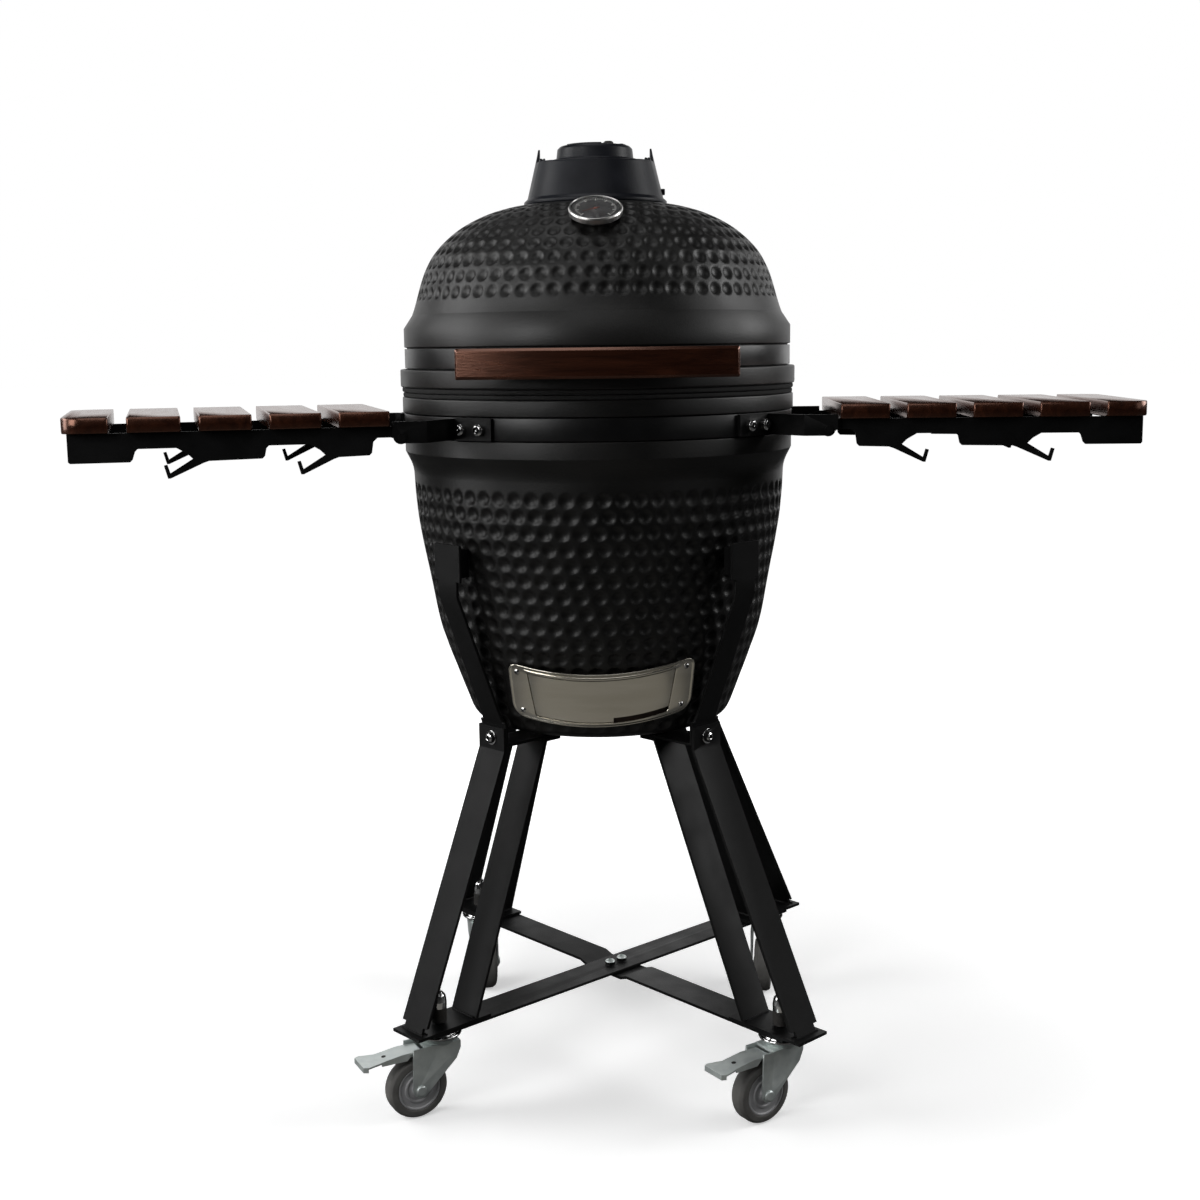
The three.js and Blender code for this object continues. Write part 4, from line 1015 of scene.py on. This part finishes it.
# ------------------------------------------------------------------ casters
for where, sx, sy, heading in CORNERS:
    foot = foot_at(sx, sy)
    here = Matrix.Translation(foot) @ Matrix.Rotation(math.radians(heading), 4, "Z")
    body = f"caster_{where}"
    race = turned([
        (0, 93.5), (5.8, 93.5), (5.8, 104.6, 0.4), (28, 104.6, 0.8), (29, 106.6, 1),
        (28.2, 107.8, 0.6), (25.4, 108, 0.6), (24.6, 110.2, 1), (6, 110.3, 0.4), (6, 119.3, 0.3),
        (0, 119.3)], 0.5, 4, 96, here)
    nut = turned([
        (0, 139.6), (10.6, 139.6, 0.5), (10.8, 148, 2), (9.4, 156.5, 6), (4.5, 162, 5),
        (0, 163)], 0.6, 5, 64, here)
    thread_profile = [(0, 119.4)]
    z = 121.0
    while z < 139:
        thread_profile += [(9.9, z), (10.7, z + 0.8), (9.9, z + 1.6)]
        z += 1.6
    thread_profile += [(0, 139.7)]
    thread = revolve("nut_thread", thread_profile, 48, here)
    piece(f"caster_stem_{where}_piece", join(f"stem_{where}", [race, nut]), "base", CHROME,
          (f"caster_stem_{where}",))
    piece(f"caster_thread_{where}", thread, "base", RAW_IRON, sharp=20)
    refined(f"fork_{where}", body, ZINC, 0.0007)
    wheel_m = here @ Matrix.Translation((TRAIL * MM, 0, WHEEL_R * MM)) @ Matrix.Rotation(
        math.pi / 2, 4, "X")
    tyre = turned(mirrored([
        (28.6, -12.2, 1), (31, -12.4, 2), (37, -11.8, 3), (40, -7, 4)]), 1.5, 5, 96, wheel_m)
    piece(f"wheel_{where}_piece", tyre, f"roller_{where}", TREAD,
          (f"wheel_{where}",))
    hub = turned(mirrored([
        (5.4, -14), (9.5, -14, 0.8), (10.4, -11.2, 0.6), (15, -10.4, 0.8), (16, -11.6, 0.8),
        (18.5, -11.6, 0.8), (19.5, -10.2, 0.8), (25.5, -10.2, 0.8), (26.4, -11.8, 0.8),
        (28.5, -11.8, 0.6)]), 0.5, 3, 96, wheel_m)
    piece(f"wheel_hub_{where}", hub, f"roller_{where}", HUB)
    axle_parts = []
    for s in (-1, 1):
        end = here @ Vector((TRAIL * MM, s * 18.5 * MM, WHEEL_R * MM))
        direction = (here.to_3x3() @ Vector((0, s, 0))).normalized()
        axle_parts.append(turned([
            (0, -0.5), (7.2, -0.5), (7.2, 1.2, 1), (5.6, 2.9, 1), (0, 2.95)], 0.4, 4, 40,
            frame_at(end, direction)))
    piece(f"axle_ends_{where}", join("axle_ends", axle_parts), body, ZINC)
    if where.startswith("front"):
        refined(f"brake_pedal_{where}", f"brake_{where}", ZINC, 0.0006)
        rivet = here @ Vector((0.076, 0, 0.0879))
        domed_bolt(f"pedal_rivet_{where}", rivet, (0, 0, 1), 4.2, 2.0, f"brake_{where}", RAW_IRON,
                   washer=False, socket=False)


# ------------------------------------------------------------------ side tables
SLAT_ROWS = ((306, 366), (386, 446), (466, 526), (546, 606), (626, 678))
SLAT_V = (-192, 82)
SLAT_Z = (888, 906)
ARM_RISE = 0.005      # metres that the bracket arms stand above the CAD solid's
ROD_U = 0.292
ROD_Z = 0.875
ROD_REACH = 0.0053    # metres about the fold rod that stay where they are
CLAMP_R = 264
CLAMP_Z = 0.8755


def table_matrix(side, sx):
    turn = Matrix.Rotation(-TOE[side], 4, "Z")
    return turn if sx > 0 else Matrix.Diagonal((-1, 1, 1, 1)) @ turn


for side, sx in SIDES:
    place = table_matrix(side, sx)
    body = f"table_{side}"
    for index, (u0, u1) in enumerate(SLAT_ROWS):
        last = index == len(SLAT_ROWS) - 1
        big = 22 if last else 2.5
        outline = rounded([
            (u0, SLAT_V[0], 2.5), (u1, SLAT_V[0], big), (u1, SLAT_V[1], big),
            (u0, SLAT_V[1], 2.5)], 2.5, 8 if last else 4)
        mesh = prism(f"slat_{side}_{index + 1}", outline, SLAT_Z[0], SLAT_Z[1], place, edge=1.5)
        piece(f"table_slat_{side}_{index + 1}_piece", mesh, body, SLAT_WOOD[side],
              (f"table_slat_{side}_{index + 1}",), sharp=50)
    refined(f"table_frame_{side}", body, POWDER, 0.0009)
    # the arms stand a little higher on the band; the fold rod stays where it turns

    def raised(co, turned_by=TOE[side]):
        u = abs(co.x) * math.cos(turned_by) - co.y * math.sin(turned_by)
        on_rod = abs(u - ROD_U) < ROD_REACH and abs(co.z - ROD_Z) < ROD_REACH
        return Vector((0, 0, 0 if on_rod else ARM_RISE))

    refined(f"table_bracket_{side}", "base", POWDER, 0.0009, shift=raised)
    for k, az in enumerate((47.8, 54)):
        a = math.radians(az) - TOE[side]
        outward = (sx * math.sin(a), -math.cos(a), 0)
        p = Vector(outward) * (CLAMP_R * MM) + Vector((0, 0, CLAMP_Z + ARM_RISE))
        cap = turned([(0, -1), (7.1, -1), (7.1, 6.2), (4.8, 7.9), (0, 8.4)], 1.4, 5, 48,
                     frame_at(p, outward))
        piece(f"bracket_bolt_{side}_{k + 1}", cap, "base", CHROME)


# ------------------------------------------------------------------ stage, light and camera
def stage_floor(half=40.0):
    mesh = bpy.data.meshes.new("floor")
    mesh.from_pydata([(-half, -half, 0), (half, -half, 0), (half, half, 0), (-half, half, 0)],
                     [], [[0, 1, 2, 3]])
    obj = bpy.data.objects.new("studio_floor", mesh)
    bpy.context.scene.collection.objects.link(obj)
    mat = surface("studio_white", ((0.90, 0.90, 0.90), (0.92, 0.92, 0.92)), (0.6, 0.7), scale=3,
                  bump=0.02, bump_scale=60)
    tree = mat.node_tree
    shader = tree.nodes["Principled BSDF"]
    # the paper is white for the camera only: what it throws back on the grill is kept low
    seen = node(tree, "LightPath").outputs["Is Camera Ray"]
    paper = tree.nodes.new("ShaderNodeMix")
    paper.data_type = "RGBA"
    paper.inputs["A"].default_value = (0.05, 0.05, 0.05, 1)
    link(tree, seen, paper.inputs["Factor"])
    link(tree, shader.inputs["Base Color"].links[0].from_socket, paper.inputs["B"])
    link(tree, paper.outputs["Result"], shader.inputs["Base Color"])
    # it glows for the camera too, and fully so away from the grill
    far = tree.nodes.new("ShaderNodeVectorMath")
    far.operation = "LENGTH"
    link(tree, node(tree, "TexCoord").outputs["Object"], far.inputs[0])
    rise = node(tree, "MapRange", {"From Min": 0.45, "From Max": 1.5, "To Min": 0.42,
                                   "To Max": 1.0}, {"Value": far.outputs["Value"]})
    rise.interpolation_type = "SMOOTHSTEP"
    glow = node(tree, "Math", links={0: rise.outputs["Result"], 1: seen})
    glow.operation = "MULTIPLY"
    shader.inputs["Emission Color"].default_value = (1, 1, 1, 1)
    link(tree, glow.outputs["Value"], shader.inputs["Emission Strength"])
    mesh.materials.append(mat)


def area_light(name, where, aim, size, power, tint=(1, 1, 1), gloss_only=False):
    data = bpy.data.lights.new(name, "AREA")
    data.shape = "RECTANGLE"
    data.size, data.size_y = size
    data.energy = power
    data.color = tint
    obj = bpy.data.objects.new(name, data)
    obj.location = where
    obj.rotation_euler = (Vector(aim) - Vector(where)).to_track_quat("-Z", "Y").to_euler()
    obj.visible_diffuse = not gloss_only
    bpy.context.scene.collection.objects.link(obj)


stage_floor()
area_light("side_left_high", (-2.7, 0.0, 2.1), (0, 0, 0.9), (1.7, 1.2), 34)
area_light("side_left_low", (-2.66, -0.47, 0.9), (0, 0, 0.9), (0.95, 1.1), 14)
area_light("key_left", (-1.80, -2.0, 1.8), (0, 0, 0.9), (1.3, 1.5), 30)
area_light("side_right_high", (2.7, 0.2, 1.9), (0, 0, 0.9), (1.4, 1.4), 36)
area_light("front_top", (0, -2.2, 3.4), (0, 0, 0.8), (1.6, 1.2), 11)
area_light("top_soft", (-0.4, 0.2, 4.2), (0, 0, 0.6), (1.8, 1.6), 16)
area_light("key_right", (2.3, -1.5, 1.5), (0, 0, 0.9), (1.0, 1.3), 3)
area_light("door_card", (0, -0.62, 0.02), (0, -0.62, 1), (1.1, 0.6), 0.24, (1, 0.95, 0.84),
           gloss_only=True)
area_light("backdrop", (0, 3.2, 1.6), (0, 0, 1.2), (7.0, 2.6), 62, gloss_only=True)

world = bpy.data.worlds.new("studio")
world.use_nodes = True
backdrop = world.node_tree.nodes["Background"]
backdrop.inputs["Color"].default_value = (1, 1, 1, 1)
ray = node(world.node_tree, "LightPath")
level = node(world.node_tree, "MapRange", {"To Min": 0.015, "To Max": 1.0},
             {"Value": ray.outputs["Is Camera Ray"]})
link(world.node_tree, level.outputs["Result"], backdrop.inputs["Strength"])
scene = bpy.context.scene
scene.world = world
scene.view_settings.view_transform = "Standard"

cam_data = bpy.data.cameras.new("camera")
cam_data.lens = 48.495
cam_data.sensor_width = 36
camera = bpy.data.objects.new("camera", cam_data)
camera.location = (-0.00039, -2.18569, 0.98231)
camera.rotation_euler = (
    Matrix.Rotation(math.radians(80.98), 3, "X") @ Matrix.Rotation(math.radians(-0.70), 3, "Z")
).to_euler()
scene.collection.objects.link(camera)
scene.camera = camera
